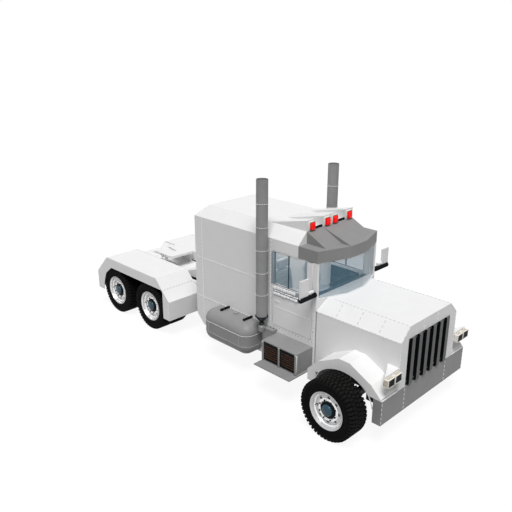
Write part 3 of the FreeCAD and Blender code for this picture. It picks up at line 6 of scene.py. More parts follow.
import bmesh
import bpy
from mathutils import Matrix, Vector


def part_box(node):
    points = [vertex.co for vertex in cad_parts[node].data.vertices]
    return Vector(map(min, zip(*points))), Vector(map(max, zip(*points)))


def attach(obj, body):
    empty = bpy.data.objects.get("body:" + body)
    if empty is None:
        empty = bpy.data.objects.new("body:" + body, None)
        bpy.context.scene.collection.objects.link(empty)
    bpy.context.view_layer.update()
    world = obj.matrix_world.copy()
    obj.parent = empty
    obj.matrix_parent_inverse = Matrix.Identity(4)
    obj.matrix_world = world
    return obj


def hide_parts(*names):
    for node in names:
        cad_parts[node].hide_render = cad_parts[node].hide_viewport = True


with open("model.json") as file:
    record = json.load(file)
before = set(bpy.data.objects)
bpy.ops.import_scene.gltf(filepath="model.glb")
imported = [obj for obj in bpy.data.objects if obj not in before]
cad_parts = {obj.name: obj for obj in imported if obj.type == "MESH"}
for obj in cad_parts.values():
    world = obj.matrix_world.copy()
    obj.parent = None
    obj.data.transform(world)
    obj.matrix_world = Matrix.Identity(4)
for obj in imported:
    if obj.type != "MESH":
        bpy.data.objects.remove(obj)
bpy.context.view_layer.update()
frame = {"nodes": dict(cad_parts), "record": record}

# Looks of the semi truck tractor unit. Metres, in the CAD's frame: +X forward, +Y left, +Z up.
CHANCE = random.Random(11)
move = Matrix.Translation
SIDES = (("left", 1), ("right", -1))
ENDS = (-1, 1)
AHEAD, ASTERN, LEFT, UP = (1, 0, 0), (-1, 0, 0), (0, 1, 0), (0, 0, 1)
WHEELS = ("front", "rear_first", "rear_second")
REAR_AXLES, FIFTH_WHEEL = (5.7, 6.9), 6.3  # distances behind the bumper's face
DECK_TOP = 0.982
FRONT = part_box("front_bumper")[1].x
CAB_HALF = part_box("sleeper_shell")[1].y
FENDER_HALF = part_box("rear_fenders")[1].y
HOOD_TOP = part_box("hood")[1].z
AXLE_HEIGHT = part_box("tyre_front_left")[1].z / 2


def behind(distance):
    """X of a place that lies this far behind the bumper's face."""
    return FRONT - distance


# ---- materials ----

LOOKS = {}
# The cast grey look, which also serves as painted shade in the twin covers' hand holes.
BLACK, BRIGHT, CAST_AND_SHADE = "black_metal", "bright_metal", "cast_grey"


class Nodes:
    """The node tree of a material or world. An input is given a value, or the (node, output) it follows."""

    def __init__(self, owner):
        owner.use_nodes = True
        self.nodes, self.links = owner.node_tree.nodes, owner.node_tree.links

    def give(self, node, *values, **named):
        """Gives a node's inputs, in order or by name with _ for a space."""
        pairs = list(zip(node.inputs, values))
        pairs += [(node.inputs[name.replace("_", " ")], value) for name, value in named.items()]
        for socket, value in pairs:
            if isinstance(value, tuple) and isinstance(value[-1], str):
                self.links.new(value[0].outputs[value[1]], socket)
            else:
                socket.default_value = value
        return node

    def put(self, kind, *values, **named):
        return self.give(self.nodes.new("ShaderNode" + kind), *values, **named)

    def math(self, operation, *values):
        node = self.put("Math", *values)
        node.operation = operation
        return node, "Value"

    def seen_directly(self):
        """1 for camera, glossy and transmission rays, and 0 for the others."""
        rays = self.put("LightPath")
        seen = self.math("MAXIMUM", (rays, "Is Camera Ray"), (rays, "Is Glossy Ray"))
        return self.math("MAXIMUM", seen, (rays, "Is Transmission Ray"))


def tint(colour, share):
    return (*[min(1.0, max(0.0, part * share)) for part in colour], 1.0)


def surface(name, colour, roughness=0.4, metallic=0.0, vary=0.04, grain=5.0, relief="noise", scale=120.0,
        depth=0.0004, coat=0.0, alpha=1.0, glow=0.0, sheen=0.0, specular=0.2, below=None):
    """Adds a look: a Principled material whose colour and roughness follow noise, and whose bump follows
    a relief pattern of a scale and depth. One number is a grey. vary is how far the colour strays, and
    grain the scale of that noise. below is (height, colour): under that height it has that colour."""
    colour = (colour,) * 3 if isinstance(colour, float) else colour
    LOOKS[name] = material = bpy.data.materials.new(name)
    tree = Nodes(material)
    shader = tree.nodes["Principled BSDF"]
    where = tree.put("TexCoord"), "Object"
    cloud = tree.put("TexNoise", Vector=where, Scale=grain, Detail=5.0)
    ramp = tree.put("ValToRGB", (cloud, "Fac"))
    for stop, position, share in zip(ramp.color_ramp.elements, (0.3, 0.7), (1 - vary, 1 + vary)):
        stop.position, stop.color = position, tint(colour, share)
    paint = ramp, "Color"
    if below is not None:
        height, under_colour = below
        axes = tree.put("SeparateXYZ", where)
        edge = tree.put("MapRange", (axes, "Z"), From_Min=height - 0.002, From_Max=height + 0.002)
        paint = tree.put("MixRGB", (edge, "Result"), (*under_colour, 1.0), paint), "Color"
    spots = tree.put("TexNoise", Vector=where, Scale=grain * 4, Detail=6.0)
    gloss = tree.put("MapRange", (spots, "Fac"), To_Min=max(0.02, roughness - 0.06),
        To_Max=min(1.0, roughness + 0.06))
    bump = tree.put("Bump", Strength=0.5, Distance=depth, Height=relief_pattern(tree, where, relief, scale))
    tree.give(shader, Base_Color=paint, Roughness=(gloss, "Result"), Normal=(bump, "Normal"),
        Metallic=metallic, Coat_Weight=coat, Coat_Roughness=0.08, Alpha=alpha, Sheen_Weight=sheen,
        Specular_IOR_Level=specular)
    if glow:
        tree.give(shader, Emission_Color=(*colour, 1.0), Emission_Strength=glow)


def relief_pattern(tree, where, relief, scale):
    """The output with the height of the relief: noise, brushed lines, leather cells, weave or ribs."""
    if relief == "brushed":
        stretch = tree.put("VectorMath", where, (0.04, 0.04, 1.0))
        stretch.operation = "MULTIPLY"
        where = stretch, "Vector"
    if relief in ("noise", "brushed"):
        return tree.put("TexNoise", Vector=where, Scale=scale, Detail=3.0), "Fac"
    if relief == "leather":
        cells = tree.put("TexVoronoi", Vector=where)
        cells.feature = "SMOOTH_F1"
        return tree.give(cells, Scale=scale), "Distance"
    waves = []
    for direction in ("Y", "Z") if relief == "weave" else ("Z",):
        wave = tree.put("TexWave", Vector=where, Scale=scale, Distortion=0.6)
        wave.bands_direction = direction
        waves.append((wave, "Fac"))
    return tree.math("MAXIMUM", *waves) if relief == "weave" else waves[0]


surface("white_paint", 0.8, 0.45, vary=0.012, scale=60, depth=0.0002)
surface("grey_paint", 0.252, 0.55, vary=0.03, scale=150)
surface("grey_metal", 0.262, 0.45, relief="brushed", scale=260, depth=0.0003)
surface("grille_grey", 0.096, 0.45, vary=0.05, relief="brushed", scale=260, depth=0.0003)
surface("stack_metal", 0.29, 0.45, vary=0.05, relief="brushed", scale=300, depth=0.0003)
surface(BRIGHT, 0.9, 0.25, 0.75, scale=220)
surface("rim_metal", (0.56, 0.56, 0.57), 0.32, 0.55, vary=0.05, scale=220)
surface(BLACK, (0.005, 0.006, 0.007), 0.5, vary=0.25, scale=180, specular=0.06)
surface("collar", (0.005, 0.014, 0.018), 0.35, vary=0.3, below=(1.022, (0.25, 0.25, 0.25)))
surface(CAST_AND_SHADE, (0.12, 0.12, 0.125), 0.7, 0.1, vary=0.2, grain=9, scale=240, depth=0.0016)
surface("tread", (0.0085, 0.0082, 0.008), 0.85, vary=0.25, grain=12, scale=300, depth=0.0012, specular=0.08)
surface("sidewall", 0.003, 0.7, vary=0.25, grain=8, scale=260, depth=0.0006, specular=0.04)
surface("glass", (0.15, 0.29, 0.38), 0.08, vary=0.03, alpha=0.26, specular=0.4, depth=0.00005)
surface("pane_tint", (0.3, 0.345, 0.375), 0.12, vary=0.03, depth=0.00005)
surface("mirror_glass", (0.86, 0.88, 0.9), 0.05, 1.0, vary=0.02, depth=0.00002)
surface("red_lens", (0.9, 0.0, 0.0), 0.25, vary=0.06, glow=0.35, relief="ribs", scale=40, depth=0.001)
surface("cream", (0.84, 0.82, 0.76), scale=90)
surface("brass", (0.3, 0.2, 0.07), 0.4, 0.3, vary=0.25, grain=40)
surface("black_lens", 0.003, 0.3, vary=0.2, relief="ribs", scale=30, depth=0.001, specular=0.05)
surface("hub_blue", (0.016, 0.062, 0.095), 0.25, vary=0.08, coat=0.3, depth=0.0001)
surface("louvre_brown", (0.12, 0.056, 0.032), 0.5, vary=0.45, grain=22, scale=200)
surface("interior", (0.012, 0.04, 0.058), 0.6, vary=0.12, relief="leather", scale=420, depth=0.0008)
surface("seat_cloth", (0.7, 0.74, 0.77), 0.85, vary=0.06, grain=18, relief="weave", scale=160, depth=0.0012,
    sheen=0.3)
surface("seat_piping", (0.3, 0.34, 0.37), 0.7, vary=0.1, relief="leather", scale=500)
surface("rubber", (0.014, 0.016, 0.018), 0.7, vary=0.15)
surface("seam_light", 0.97, 0.3, vary=0.02)
surface("sill_grey", (0.3, 0.32, 0.34), 0.5, vary=0.2, grain=30)
# A mid grey for seams, rivets and studs; on the wheel rims it is painted step shade.
surface("seam_and_shade_grey", 0.45, 0.5, vary=0.05)
surface("radiator", (0.004, 0.005, 0.006), 0.5, vary=0.3, relief="ribs", scale=60, depth=0.003)
surface("stack_light", 0.54, scale=200)
surface("dial", (0.72, 0.74, 0.74), vary=0.03)

# A slot has the look of its own name, and a node its slot's look, but for these.
SLOT_LOOK = {"lamp_red": "red_lens", "lamp_clear": "cream", "tyre": "sidewall"}
NODE_LOOK = {"box_louvres": "louvre_brown", "stack_bases": "collar", "exhaust_stacks": "stack_metal",
    "radiator": "radiator", "grille": "grille_grey", "frame": "white_paint", "fifth_wheel": "white_paint"}
NODE_LOOK.update({f"rim_{wheel}_{word}": "rim_metal" for wheel, (word, _) in product(WHEELS, SIDES)})
for part in frame["record"]["subparts"]:
    slot = part["material_slot"]
    own_materials = frame["nodes"][part["node"]].data.materials
    own_materials.clear()
    own_materials.append(LOOKS[NODE_LOOK.get(part["node"], SLOT_LOOK.get(slot, slot))])


# ---- shapes: each gives (points, faces) ----

def circle(count, start=0.0):
    """Points (x, y) of a unit circle, the first one start steps round."""
    angles = [math.tau * (step + start) / count for step in range(count)]
    return [(math.cos(angle), math.sin(angle)) for angle in angles]


def polar(radius, angle, height):
    return radius * math.cos(angle), radius * math.sin(angle), height


def band(count, start=0):
    """Faces between two rings of count points, the second ring just after the first."""
    return [(start + step, start + (step + 1) % count, start + count + (step + 1) % count,
        start + count + step) for step in range(count)]


def prism(count):
    """Faces of a solid whose two ends have count points each."""
    return [list(range(count)), list(range(count, 2 * count))] + band(count)


def block(low, high, chamfer=0.0):
    """A box between two corners, its edges chamfered. A corner's number adds 4, 2 and 1 for its far X, Y
    and Z, and a chamfered corner has a point on each of its three faces."""
    corners = list(product((0, 1), repeat=3))
    if chamfer <= 0:
        points = [[(low, high)[end][axis] for axis, end in enumerate(corner)] for corner in corners]
        return points, [(0, 1, 3, 2), (4, 6, 7, 5), (0, 4, 5, 1), (2, 3, 7, 6), (0, 2, 6, 4), (1, 5, 7, 3)]
    points, faces = [], [range(3 * corner, 3 * corner + 3) for corner in range(8)]
    for corner, flat in product(corners, range(3)):
        inset = [0 if axis == flat else chamfer * (1 - 2 * end) for axis, end in enumerate(corner)]
        points.append([(low, high)[end][axis] + inset[axis] for axis, end in enumerate(corner)])
    for axis in range(3):
        next_one, next_two = (axis + 1) % 3, (axis + 2) % 3
        step, one, two = 4 >> axis, 4 >> next_one, 4 >> next_two
        for base in (0, step):
            faces.append([3 * (base + corner) + axis for corner in (0, one, one + two, two)])
        for near in (0, 3 * one, 3 * two, 3 * (one + two)):
            far = near + 3 * step
            faces.append([near + next_one, far + next_one, far + next_two, near + next_two])
    return points, faces


def turned(profile, count=32):
    """A profile of (radius, height) turned round Z: a ring, or a solid if the profile starts on the axis."""
    points, faces, rings = [], [], []
    for radius, height in profile:
        if radius < 1e-6:
            rings.append([len(points)] * count)
            points.append((0.0, 0.0, height))
        else:
            rings.append(list(range(len(points), len(points) + count)))
            points += [(radius * x, radius * y, height) for x, y in circle(count)]
    pairs = list(zip(rings, rings[1:]))
    if profile[0][0] > 0:
        pairs.append((rings[-1], rings[0]))
    for (one, two), step in product(pairs, range(count)):
        after = (step + 1) % count
        faces.append(list(dict.fromkeys((one[step], one[after], two[after], two[step]))))
    return points, faces


def hoop(near, far, low, high, count):
    """A flat ring between two radii and two heights."""
    return turned([(near, low), (far, low), (far, high), (near, high)], count)


def tube(path, radius, count=12):
    """A round bar along a path, closed at both ends."""
    path = [Vector(point) for point in path]
    points, faces, side = [], [], None
    for index, point in enumerate(path):
        along = (path[min(index + 1, len(path) - 1)] - path[max(index - 1, 0)]).normalized()
        if side is None:
            side = along.orthogonal().normalized()
        side = (side - along * side.dot(along)).normalized()
        up = along.cross(side)
        points += [point + radius * (side * x + up * y) for x, y in circle(count)]
    for index in range(len(path) - 1):
        faces += band(count, index * count)
    faces += [list(range(count)), list(range(len(points) - count, len(points)))]
    return points, faces


def pushed(outline, low, high, axis=2):
    """An outline in the other two axes, pushed from low to high along an axis."""
    points = []
    for level, (one, two) in product((low, high), outline):
        point = [one, two]
        point.insert(axis, level)
        points.append(point)
    return points, prism(len(outline))


def pillow(half, power, steps, channels=0, pinch=0.04):
    """A crowned cushion round the origin: its sides pull in between the corners, with sewn channels
    across X. A higher power makes it squarer."""
    hem, channel_depth = 0.86, 0.008  # the channels end at the hem, a share of the half width
    index = {}

    def spot(axis, end, one, two):
        point = [2 * one / steps - 1, 2 * two / steps - 1]
        point.insert(axis, end)
        return tuple(round(part, 5) for part in point)

    points, faces = [], []
    for axis, end in product(range(3), ENDS):
        for one, two in product(range(steps + 1), repeat=2):
            index.setdefault(spot(axis, end, one, two), len(index))
        for one, two in product(range(steps), repeat=2):
            loop = ((one, two), (one + 1, two), (one + 1, two + 1), (one, two + 1))
            faces.append([index[spot(axis, end, *place)] for place in loop])
    for x, y, z in index:
        size = (abs(x) ** power + abs(y) ** power + abs(z) ** power) ** (1 / power)
        x, y, z = x / size, y / size, z / size
        z *= 1 - 0.12 * (x * x + y * y) / 2
        point = [x * half[0] * (1 - pinch * (1 - y * y)), y * half[1] * (1 - pinch * (1 - x * x)),
            z * half[2]]
        if channels and abs(y) < hem:
            valley = abs(math.cos(math.pi * channels * (x + 1) / 2)) ** 14
            sink = channel_depth * valley * (1 - (abs(y) / hem) ** 6)
            point[2] -= math.copysign(sink, z) * min(1, abs(z) * 2)
        points.append(point)
    return points, faces


def bolt(radius=0.011, height=0.009):
    return turned([(0, 0), (radius, 0), (radius, height * 0.75), (radius * 0.82, height), (0, height)], 6)


def rivet(radius=0.006, height=0.004):
    return turned([(0, 0), (radius, 0), (radius * 0.8, height * 0.6), (radius * 0.4, height * 0.95),
        (0, height)], 8)


# ---- places ----

def aim(place, direction=UP, roll=0.0):
    """Turns Z towards a direction and moves to a place."""
    turn = Vector(direction).to_track_quat("Z", "Y").to_matrix().to_4x4()
    return move(place) @ turn @ Matrix.Rotation(roll, 4, "Z")


def spin(count, start=0.0):
    """Turns round Z by even steps, the first by start steps."""
    return [Matrix.Rotation(math.tau * (step + start) / count, 4, "Z") for step in range(count)]


def around(count, radius, height=0.0, start=0.0):
    """Places spaced evenly on a circle round Z."""
    return [move((radius * x, radius * y, height)) for x, y in circle(count, start)]


def stand(name, data, location=(0, 0, 0)):
    """A new object in the scene."""
    thing = bpy.data.objects.new(name, data)
    thing.location = location
    bpy.context.scene.collection.objects.link(thing)
    return thing


class Piece:
    """Shapes gathered into one visible object. A shape that names no look has the slot's look, and the
    shapes of a paired piece stand on both sides of the vehicle."""

    def __init__(self, name, body="chassis", slot="white_paint", paired=False):
        self.name, self.body, self.slot, self.paired = name, body, slot, paired
        self.points, self.faces, self.looks, self.mesh = [], [], [], None

    def add(self, shape, look=None, place=None, mirror=None):
        points, faces = shape
        points = [Vector(point) if place is None else place @ Vector(point) for point in points]
        both = self.paired if mirror is None else mirror
        for sign in (1, -1) if both else (1,):
            start = len(self.points)
            self.points += [Vector((point.x, point.y * sign, point.z)) for point in points]
            self.faces += [[start + corner for corner in face] for face in faces]
            self.looks += [look or SLOT_LOOK.get(self.slot, self.slot)] * len(faces)

    def box(self, low, high, chamfer=0.0, look=None, place=None, mirror=None):
        self.add(block(low, high, chamfer), look, place, mirror)

    def turn(self, profile, count=32, look=None, place=None, mirror=None):
        self.add(turned(profile, count), look, place, mirror)

    def build(self):
        self.mesh = bpy.data.meshes.new(self.name)
        self.mesh.from_pydata(self.points, [], self.faces)
        order = list(dict.fromkeys(self.looks))
        for look in order:
            self.mesh.materials.append(LOOKS[look])
        self.mesh.polygons.foreach_set("material_index", [order.index(look) for look in self.looks])
        shell = bmesh.new()
        shell.from_mesh(self.mesh)
        bmesh.ops.recalc_face_normals(shell, faces=shell.faces)
        shell.to_mesh(self.mesh)
        shell.free()
        self.mesh.shade_smooth()
        self.mesh.set_sharp_from_angle(angle=math.radians(38))

    def make(self, name=None, body=None, place=None, replaces=()):
        """An object of this mesh that rides on a body."""
        if self.mesh is None:
            self.build()
        made = stand(name or self.name, self.mesh)
        if place is not None:
            made.matrix_world = place
        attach(made, body or self.body)
        if replaces:
            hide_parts(*replaces)
        return made


# ---- wheels ----

LUGS = 46  # blocks in one row of tread
TREAD_TOP = 0.4965


def tyre_parts(piece, width, base):
    """One tyre: carcass, shoulder lugs and staggered tread blocks. Z is the axle; base is its inner side."""
    half = width / 2
    middle = base + half
    outside = [(0.2875, 0.05), (0.2875, 0.029), (0.3115, 0.029), (0.313, 0.016), (0.32, 0.01), (0.328, 0.008),
        (0.333, 0.011), (0.342, 0.0105), (0.372, 0.004), (0.402, 0.001), (0.428, 0.002), (0.448, 0.008),
        (0.464, 0.018), (0.475, 0.034), (0.481, 0.058), (0.4835, 0.09)]
    liner = [(0.47, 0.09), (0.45, 0.04), (0.41, 0.024), (0.35, 0.028), (0.302, 0.055)]
    profile = [(radius, middle + half - inset) for radius, inset in outside]
    profile += [(radius, middle - half + inset) for radius, inset in outside[::-1] + liner[::-1]]
    profile += [(radius, middle + half - inset) for radius, inset in liner]
    piece.turn(profile, 96, "sidewall")
    crown = half - 0.02
    lug = [(crown - 0.058, 0.476), (crown - 0.058, TREAD_TOP), (crown - 0.054, 0.4995),
        (crown - 0.008, 0.499), (crown + 0.004, 0.493), (half - 0.0015, 0.456), (half - 0.0015, 0.438),
        (half - 0.012, 0.434)]
    for end, step in product(ENDS, range(LUGS)):
        angle = math.tau * (step + (0.5 if end > 0 else 0.0)) / LUGS
        spread = math.tau / LUGS * (0.3 + 0.02 * CHANCE.random())
        points = [polar(radius, angle + turn * spread * (1.0 if radius < 0.48 else 0.9),
            middle + end * across) for turn, (across, radius) in product(ENDS, lug)]
        piece.add((points, prism(len(lug))), "tread")
    room = crown - 0.068
    row = (2 * room - 0.02) / 3
    for index, step in product(range(3), range(LUGS)):
        low = -room + index * (row + 0.01)
        start, skew = (0.5, 0.012) if index == 1 else (0.15, -0.012)
        angle = math.tau * (step + start) / LUGS
        spread = math.tau / LUGS * (0.33 + 0.03 * CHANCE.random())
        points = []
        for radius, inset in ((0.478, 0.0), (TREAD_TOP, 0.0), (0.4998, 0.003)):
            for turn, across, shift in ((-1, low + inset, -skew), (1, low + inset, -skew),
                    (1, low + row - inset, skew), (-1, low + row - inset, skew)):
                points.append(polar(radius, angle + turn * (spread - inset / 0.5) + shift, middle + across))
        piece.add((points, [(0, 1, 2, 3), (8, 9, 10, 11)] + band(4) + band(4, 4)), "tread")


def wheel_cover(piece, face):
    """A pressed cover in the mouth of a twin wheel, with hand holes drawn as flat dark discs: painted shade
    of a recess. face is its place.
    """
    piece.turn([(0.09, -0.006), (0.09, 0), (0.246, 0), (0.26, 0.01), (0.27, 0.036), (0.28, 0.055),
        (0.2855, 0.057), (0.2855, 0.05), (0.276, 0.032), (0.266, 0.004), (0.25, -0.006)], 96, "rim_metal",
        face)
    piece.turn([(0.2745, 0.04), (0.2745, 0.047), (0.28, 0.0575), (0.2853, 0.059), (0.2853, 0.052)], 96,
        BRIGHT, face)
    for hole in around(8, 0.2):
        piece.add(hoop(0.02, 0.026, 0, 0.003, 20), BRIGHT, face @ hole)
        # The dark disc is painted shade of the hand hole, flush on the cover.
        piece.turn([(0, 0), (0.02, 0), (0.02, 0.001), (0, 0.001)], 20, CAST_AND_SHADE, face @ hole)


def wheel_trim(piece, face, drum_low, drum_high):
    """Hub, dome, nuts, rings, a valve and the brake drum; two thin grey rings are painted shade of the dish's
    steps. face is the place of the disc's outer face.
    """
    piece.turn([(0.094, 0.012), (0.094, -0.002), (0.138, -0.002), (0.138, 0.01), (0.1245, 0.025),
        (0.097, 0.025)], 64, BLACK, face)
    piece.turn([(0.0, 0.02), (0.0965, 0.02), (0.0965, 0.031), (0.0935, 0.04), (0.085, 0.0485), (0.07, 0.055),
        (0.048, 0.0592), (0.025, 0.0612), (0.0, 0.0618)], 64, "hub_blue", face)
    piece.turn([(0.2765, 0), (0.2765, 0.02), (0.266, 0.02), (0.262, 0.017), (0.254, 0.006), (0.246, 0.004),
        (0.243, 0)], 96, BRIGHT, face)
    piece.turn([(0.186, 0), (0.186, 0.004), (0.18, 0.006), (0.15, 0.006), (0.144, 0)], 96, BRIGHT, face)
    # Two thin grey rings: painted shade where the dish steps down, not seams.
    for near, far, top in ((0.2345, 0.2415, 0.0015), (0.2625, 0.2675, 0.0206)):
        piece.add(hoop(near, far, top - 0.004, top, 96), "seam_and_shade_grey", face)
    for nut in around(8, 0.158, 0.005, 0.5):
        piece.turn([(0, 0), (0.02, 0), (0.02, 0.004), (0.016, 0.007), (0, 0.007)], 16, BRIGHT, face @ nut)
        piece.turn([(0, 0.004), (0.0135, 0.004), (0.0135, 0.024), (0.01, 0.028), (0, 0.028)], 6, BLACK,
            face @ nut)
    piece.add(hoop(0.2858, 0.3, 0.039, 0.049, 96), "hub_blue", face)
    piece.add(tube([(0.232, 0, -0.004), (0.232, 0, 0.018), (0.224, 0, 0.036)], 0.0055, 10), BLACK, face)
    piece.add(hoop(0.168, 0.236, -0.034, -0.03, 64), BRIGHT, face)
    fin, ribs = drum_low + 0.01, [(0.11, drum_low), (0.198, drum_low), (0.206, drum_low + 0.01)]
    while fin < drum_high - 0.03:
        ribs += [(0.206, fin + 0.008), (0.2, fin + 0.01), (0.2, fin + 0.018), (0.206, fin + 0.02)]
        fin += 0.02
    ribs += [(0.206, drum_high - 0.008), (0.19, drum_high), (0.11, drum_high)]
    piece.turn(ribs, 64, CAST_AND_SHADE)


LAY_AXLE = Matrix.Rotation(-math.pi / 2, 4, "X")
DUAL_GAP, DISC_DEPTH = 0.03, 0.075  # between twin tyres, and from a tyre's outer side to the disc
front_low, front_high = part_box("tyre_front_left")
rear_low, rear_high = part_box("tyre_rear_first_left")
front_width = front_high.y - front_low.y
twin_width = (rear_high.y - rear_low.y - DUAL_GAP) / 2
front_face = move((0, 0, front_width - DISC_DEPTH))
twin_face = move((0, 0, 2 * twin_width + DUAL_GAP - DISC_DEPTH))
front_tyre = Piece("tyre_tread_front", slot="tyre")
tyre_parts(front_tyre, front_width, 0.0)
twin_tyre = Piece("tyre_tread_twin", slot="tyre")
tyre_parts(twin_tyre, twin_width, 0.0)
tyre_parts(twin_tyre, twin_width, twin_width + DUAL_GAP)
front_trim = Piece("wheel_trim_front", slot=BRIGHT)
wheel_trim(front_trim, front_face, 0.165, 0.275)
twin_trim = Piece("wheel_trim_twin", slot=BRIGHT)
wheel_cover(twin_trim, twin_face)
wheel_trim(twin_trim, twin_face, 0.05, 0.25)
for wheel, (word, sign) in product(WHEELS, SIDES):
    tyre, trim = (front_tyre, front_trim) if wheel == "front" else (twin_tyre, twin_trim)
    low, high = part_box(f"tyre_{wheel}_{word}")
    inner = Vector(((low.x + high.x) / 2, low.y if sign > 0 else high.y, AXLE_HEIGHT))
    place = move(inner) @ Matrix.Rotation(0 if sign > 0 else math.pi, 4, "Z") @ LAY_AXLE
    tyre.make(f"tyre_tread_{wheel}_{word}", f"wheel_{wheel}_{word}", place, [f"tyre_{wheel}_{word}"])
    trim.make(f"wheel_trim_{wheel}_{word}", f"wheel_{wheel}_{word}", place)


# ---- lamps ----

lamps = Piece("headlights_detail", "hood", "lamp_clear", paired=True)
low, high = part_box("headlights")
LAMP_INNER, LAMP_GAP, LIP, LENS_GAP = 0.826, 0.016, 0.007, 0.004
unit = (high.y - LAMP_INNER - LAMP_GAP) / 2
back, lamp_low, lamp_top = high.x - 0.095, low.z, high.z - 0.03
lens_wide = (unit - 2 * LIP - LENS_GAP) / 2
lens_tall = (lamp_top - lamp_low - 2 * LIP - LENS_GAP) / 2
for near in (LAMP_INNER, LAMP_INNER + unit + LAMP_GAP):
    far = near + unit
    lamps.box((back, near, lamp_low), (high.x - 0.02, far, lamp_top), 0.007)
    for start, end in (((near, lamp_low), (far, lamp_low + LIP)), ((near, lamp_top - LIP), (far, lamp_top)),
            ((near, lamp_low + LIP / 2), (near + LIP, lamp_top - LIP / 2)), ((far - LIP, lamp_low + LIP / 2),
            (far, lamp_top - LIP / 2))):
        lamps.box((high.x - 0.026, *start), (high.x, *end), 0.002)
    lamps.box((high.x - 0.024, near + 0.005, lamp_low + 0.005), (high.x - 0.006, far - 0.005,
        lamp_top - 0.005), 0.002, "black_lens")
    for row, column in product(range(2), repeat=2):
        y, z = near + LIP + column * (lens_wide + LENS_GAP), lamp_low + LIP + row * (lens_tall + LENS_GAP)
        lamps.box((high.x - 0.014, y, z), (high.x - 0.002, y + lens_wide, z + lens_tall), 0.004, "black_lens")
    for x in [back + 0.012 + 0.018 * step for step in range(4)]:
        lamps.box((x, near + 0.02, lamp_top - 0.001), (x + 0.007, far - 0.02, lamp_top + 0.0025), 0.001,
            "brass")
        lamps.box((x, far - 0.001, lamp_low + 0.018), (x + 0.007, far + 0.0025, lamp_top - 0.018), 0.001,
            "brass")
lamps.box((FRONT - 0.012, LAMP_INNER + unit - 0.004, lamp_low + 0.03), (high.x - 0.034,
    LAMP_INNER + unit + 0.02, lamp_top - 0.03), 0.003, BLACK)
lamps.add(pushed([(FRONT - 0.002, CAB_HALF), (FRONT - 0.2, CAB_HALF), (FRONT - 0.002, high.y)], lamp_top,
    high.z), "white_paint")
lamps.make(replaces=["headlights"])

signals = Piece("signal_lamps_detail", slot="lamp_red", paired=True)
face, lamp_low, lamp_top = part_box("roof_fairings")[1].x, 2.808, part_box("signal_lamps")[1].z
middle = (lamp_low + lamp_top) / 2
for y in (0.1, 0.49):
    signals.box((face - 0.002, y - 0.078, lamp_low - 0.006), (face + 0.02, y + 0.078, lamp_top + 0.016),
        0.006, "cream")
    signals.box((face + 0.014, y - 0.062, lamp_low), (face + 0.024, y + 0.062, lamp_top + 0.004), 0.003,
        "rubber")
    signals.add(pillow((0.024, 0.056, 0.06), 6.0, 10, pinch=0.01), place=move((face + 0.024, y, middle)))
    for side, rise in product((-0.07, 0.07), (-0.045, 0.045)):
        signals.add(rivet(0.005, 0.003), "brass", aim((face + 0.02, y + side, middle + rise), AHEAD))
wall, y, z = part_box("frame")[0].x + 0.02, 0.27, 0.835
signals.box((wall - 0.022, y - 0.08, z - 0.055), (wall, y + 0.08, z + 0.055), 0.006, BLACK)
for side in (-0.038, 0.038):
    signals.add(pillow((0.018, 0.035, 0.046), 6.0, 8, pinch=0.01), place=move((wall - 0.026, y + side, z)))
signals.make(replaces=["signal_lamps"])


# ---- seams, rivets and trim on the body panels ----

def dashes(piece, start, end, out, look="seam_light", width=0.011):
    """A row of short raised strips on a surface that faces out, from start to end."""
    length, pitch, proud = 0.045, 0.07, 0.004
    start, end, out = Vector(start), Vector(end), Vector(out).normalized()
    along, total = (end - start).normalized(), (end - start).length
    turn = Matrix((along, out.cross(along), out)).transposed().to_4x4()
    count = max(1, int(total / pitch))
    for step in range(count):
        spot = start + along * ((step + 0.5) * total / count - length / 2)
        piece.box((0, -width / 2, -0.001), (length, width / 2, proud), 0.0015, look, move(spot) @ turn)


def seam_lines(piece, lines):
    """Dashes from rows of (start, end, out, look, width), with x as a distance behind the bumper."""
    for start, end, *rest in lines:
        dashes(piece, *[(behind(distance), y, z) for distance, y, z in (start, end)], *rest)


seams = Piece("body_seams", paired=True)
hood_seams = Piece("hood_seams", "hood", paired=True)
shoulder, top_half, thin_grey = HOOD_TOP - 0.2, CAB_HALF - 0.2, ("seam_and_shade_grey", 0.008)
BUMPER_LINE, BELT_RIVETS = (0.41, 0.79), 1.015
seam_lines(seams, [((start, CAB_HALF, low_z), (end, CAB_HALF, high_z), LEFT) for start, end, low_z,
    high_z in ((2.62, 4.58, 1.8, 1.8), (2.62, 4.58, 1.0, 1.0), (4.4, 4.4, 0.64, 2.58),
    (2.612, 2.612, 0.44, 2.58), (1.625, 1.625, 0.64, 1.56))])
seam_lines(seams, [((0, y, BUMPER_LINE[0]), (0, y, BUMPER_LINE[1]), AHEAD, "seam_light", 0.009) for y in (0.6,
    1.192)])
seam_lines(seams, [((5.42, y, 1.2), (7.18, y, 1.2), UP, *thin_grey) for y in (0.41, FENDER_HALF - 0.01)])
seam_lines(seams, [((5.2, 0.42, 1.0), (5.2, 1.18, 1.0), (1, 0, 1), "seam_and_shade_grey", 0.01),
    ((5.02, FENDER_HALF, 0.44), (5.02, FENDER_HALF, 0.78), LEFT)])
seam_lines(hood_seams, [((0.02, CAB_HALF, shoulder - 0.008), (1.56, CAB_HALF, shoulder - 0.008), LEFT),
    ((0.02, top_half - 0.01, HOOD_TOP), (1.4, top_half - 0.01, HOOD_TOP), UP, *thin_grey),
    ((0, CAB_HALF - 0.008, 0.83), (0, CAB_HALF - 0.008, shoulder), AHEAD), ((0, CAB_HALF - 0.012, shoulder),
    (0, top_half - 0.005, HOOD_TOP - 0.012), AHEAD), ((0, 0.2, shoulder + 0.01), (0, 0.2, HOOD_TOP - 0.01),
    AHEAD)])
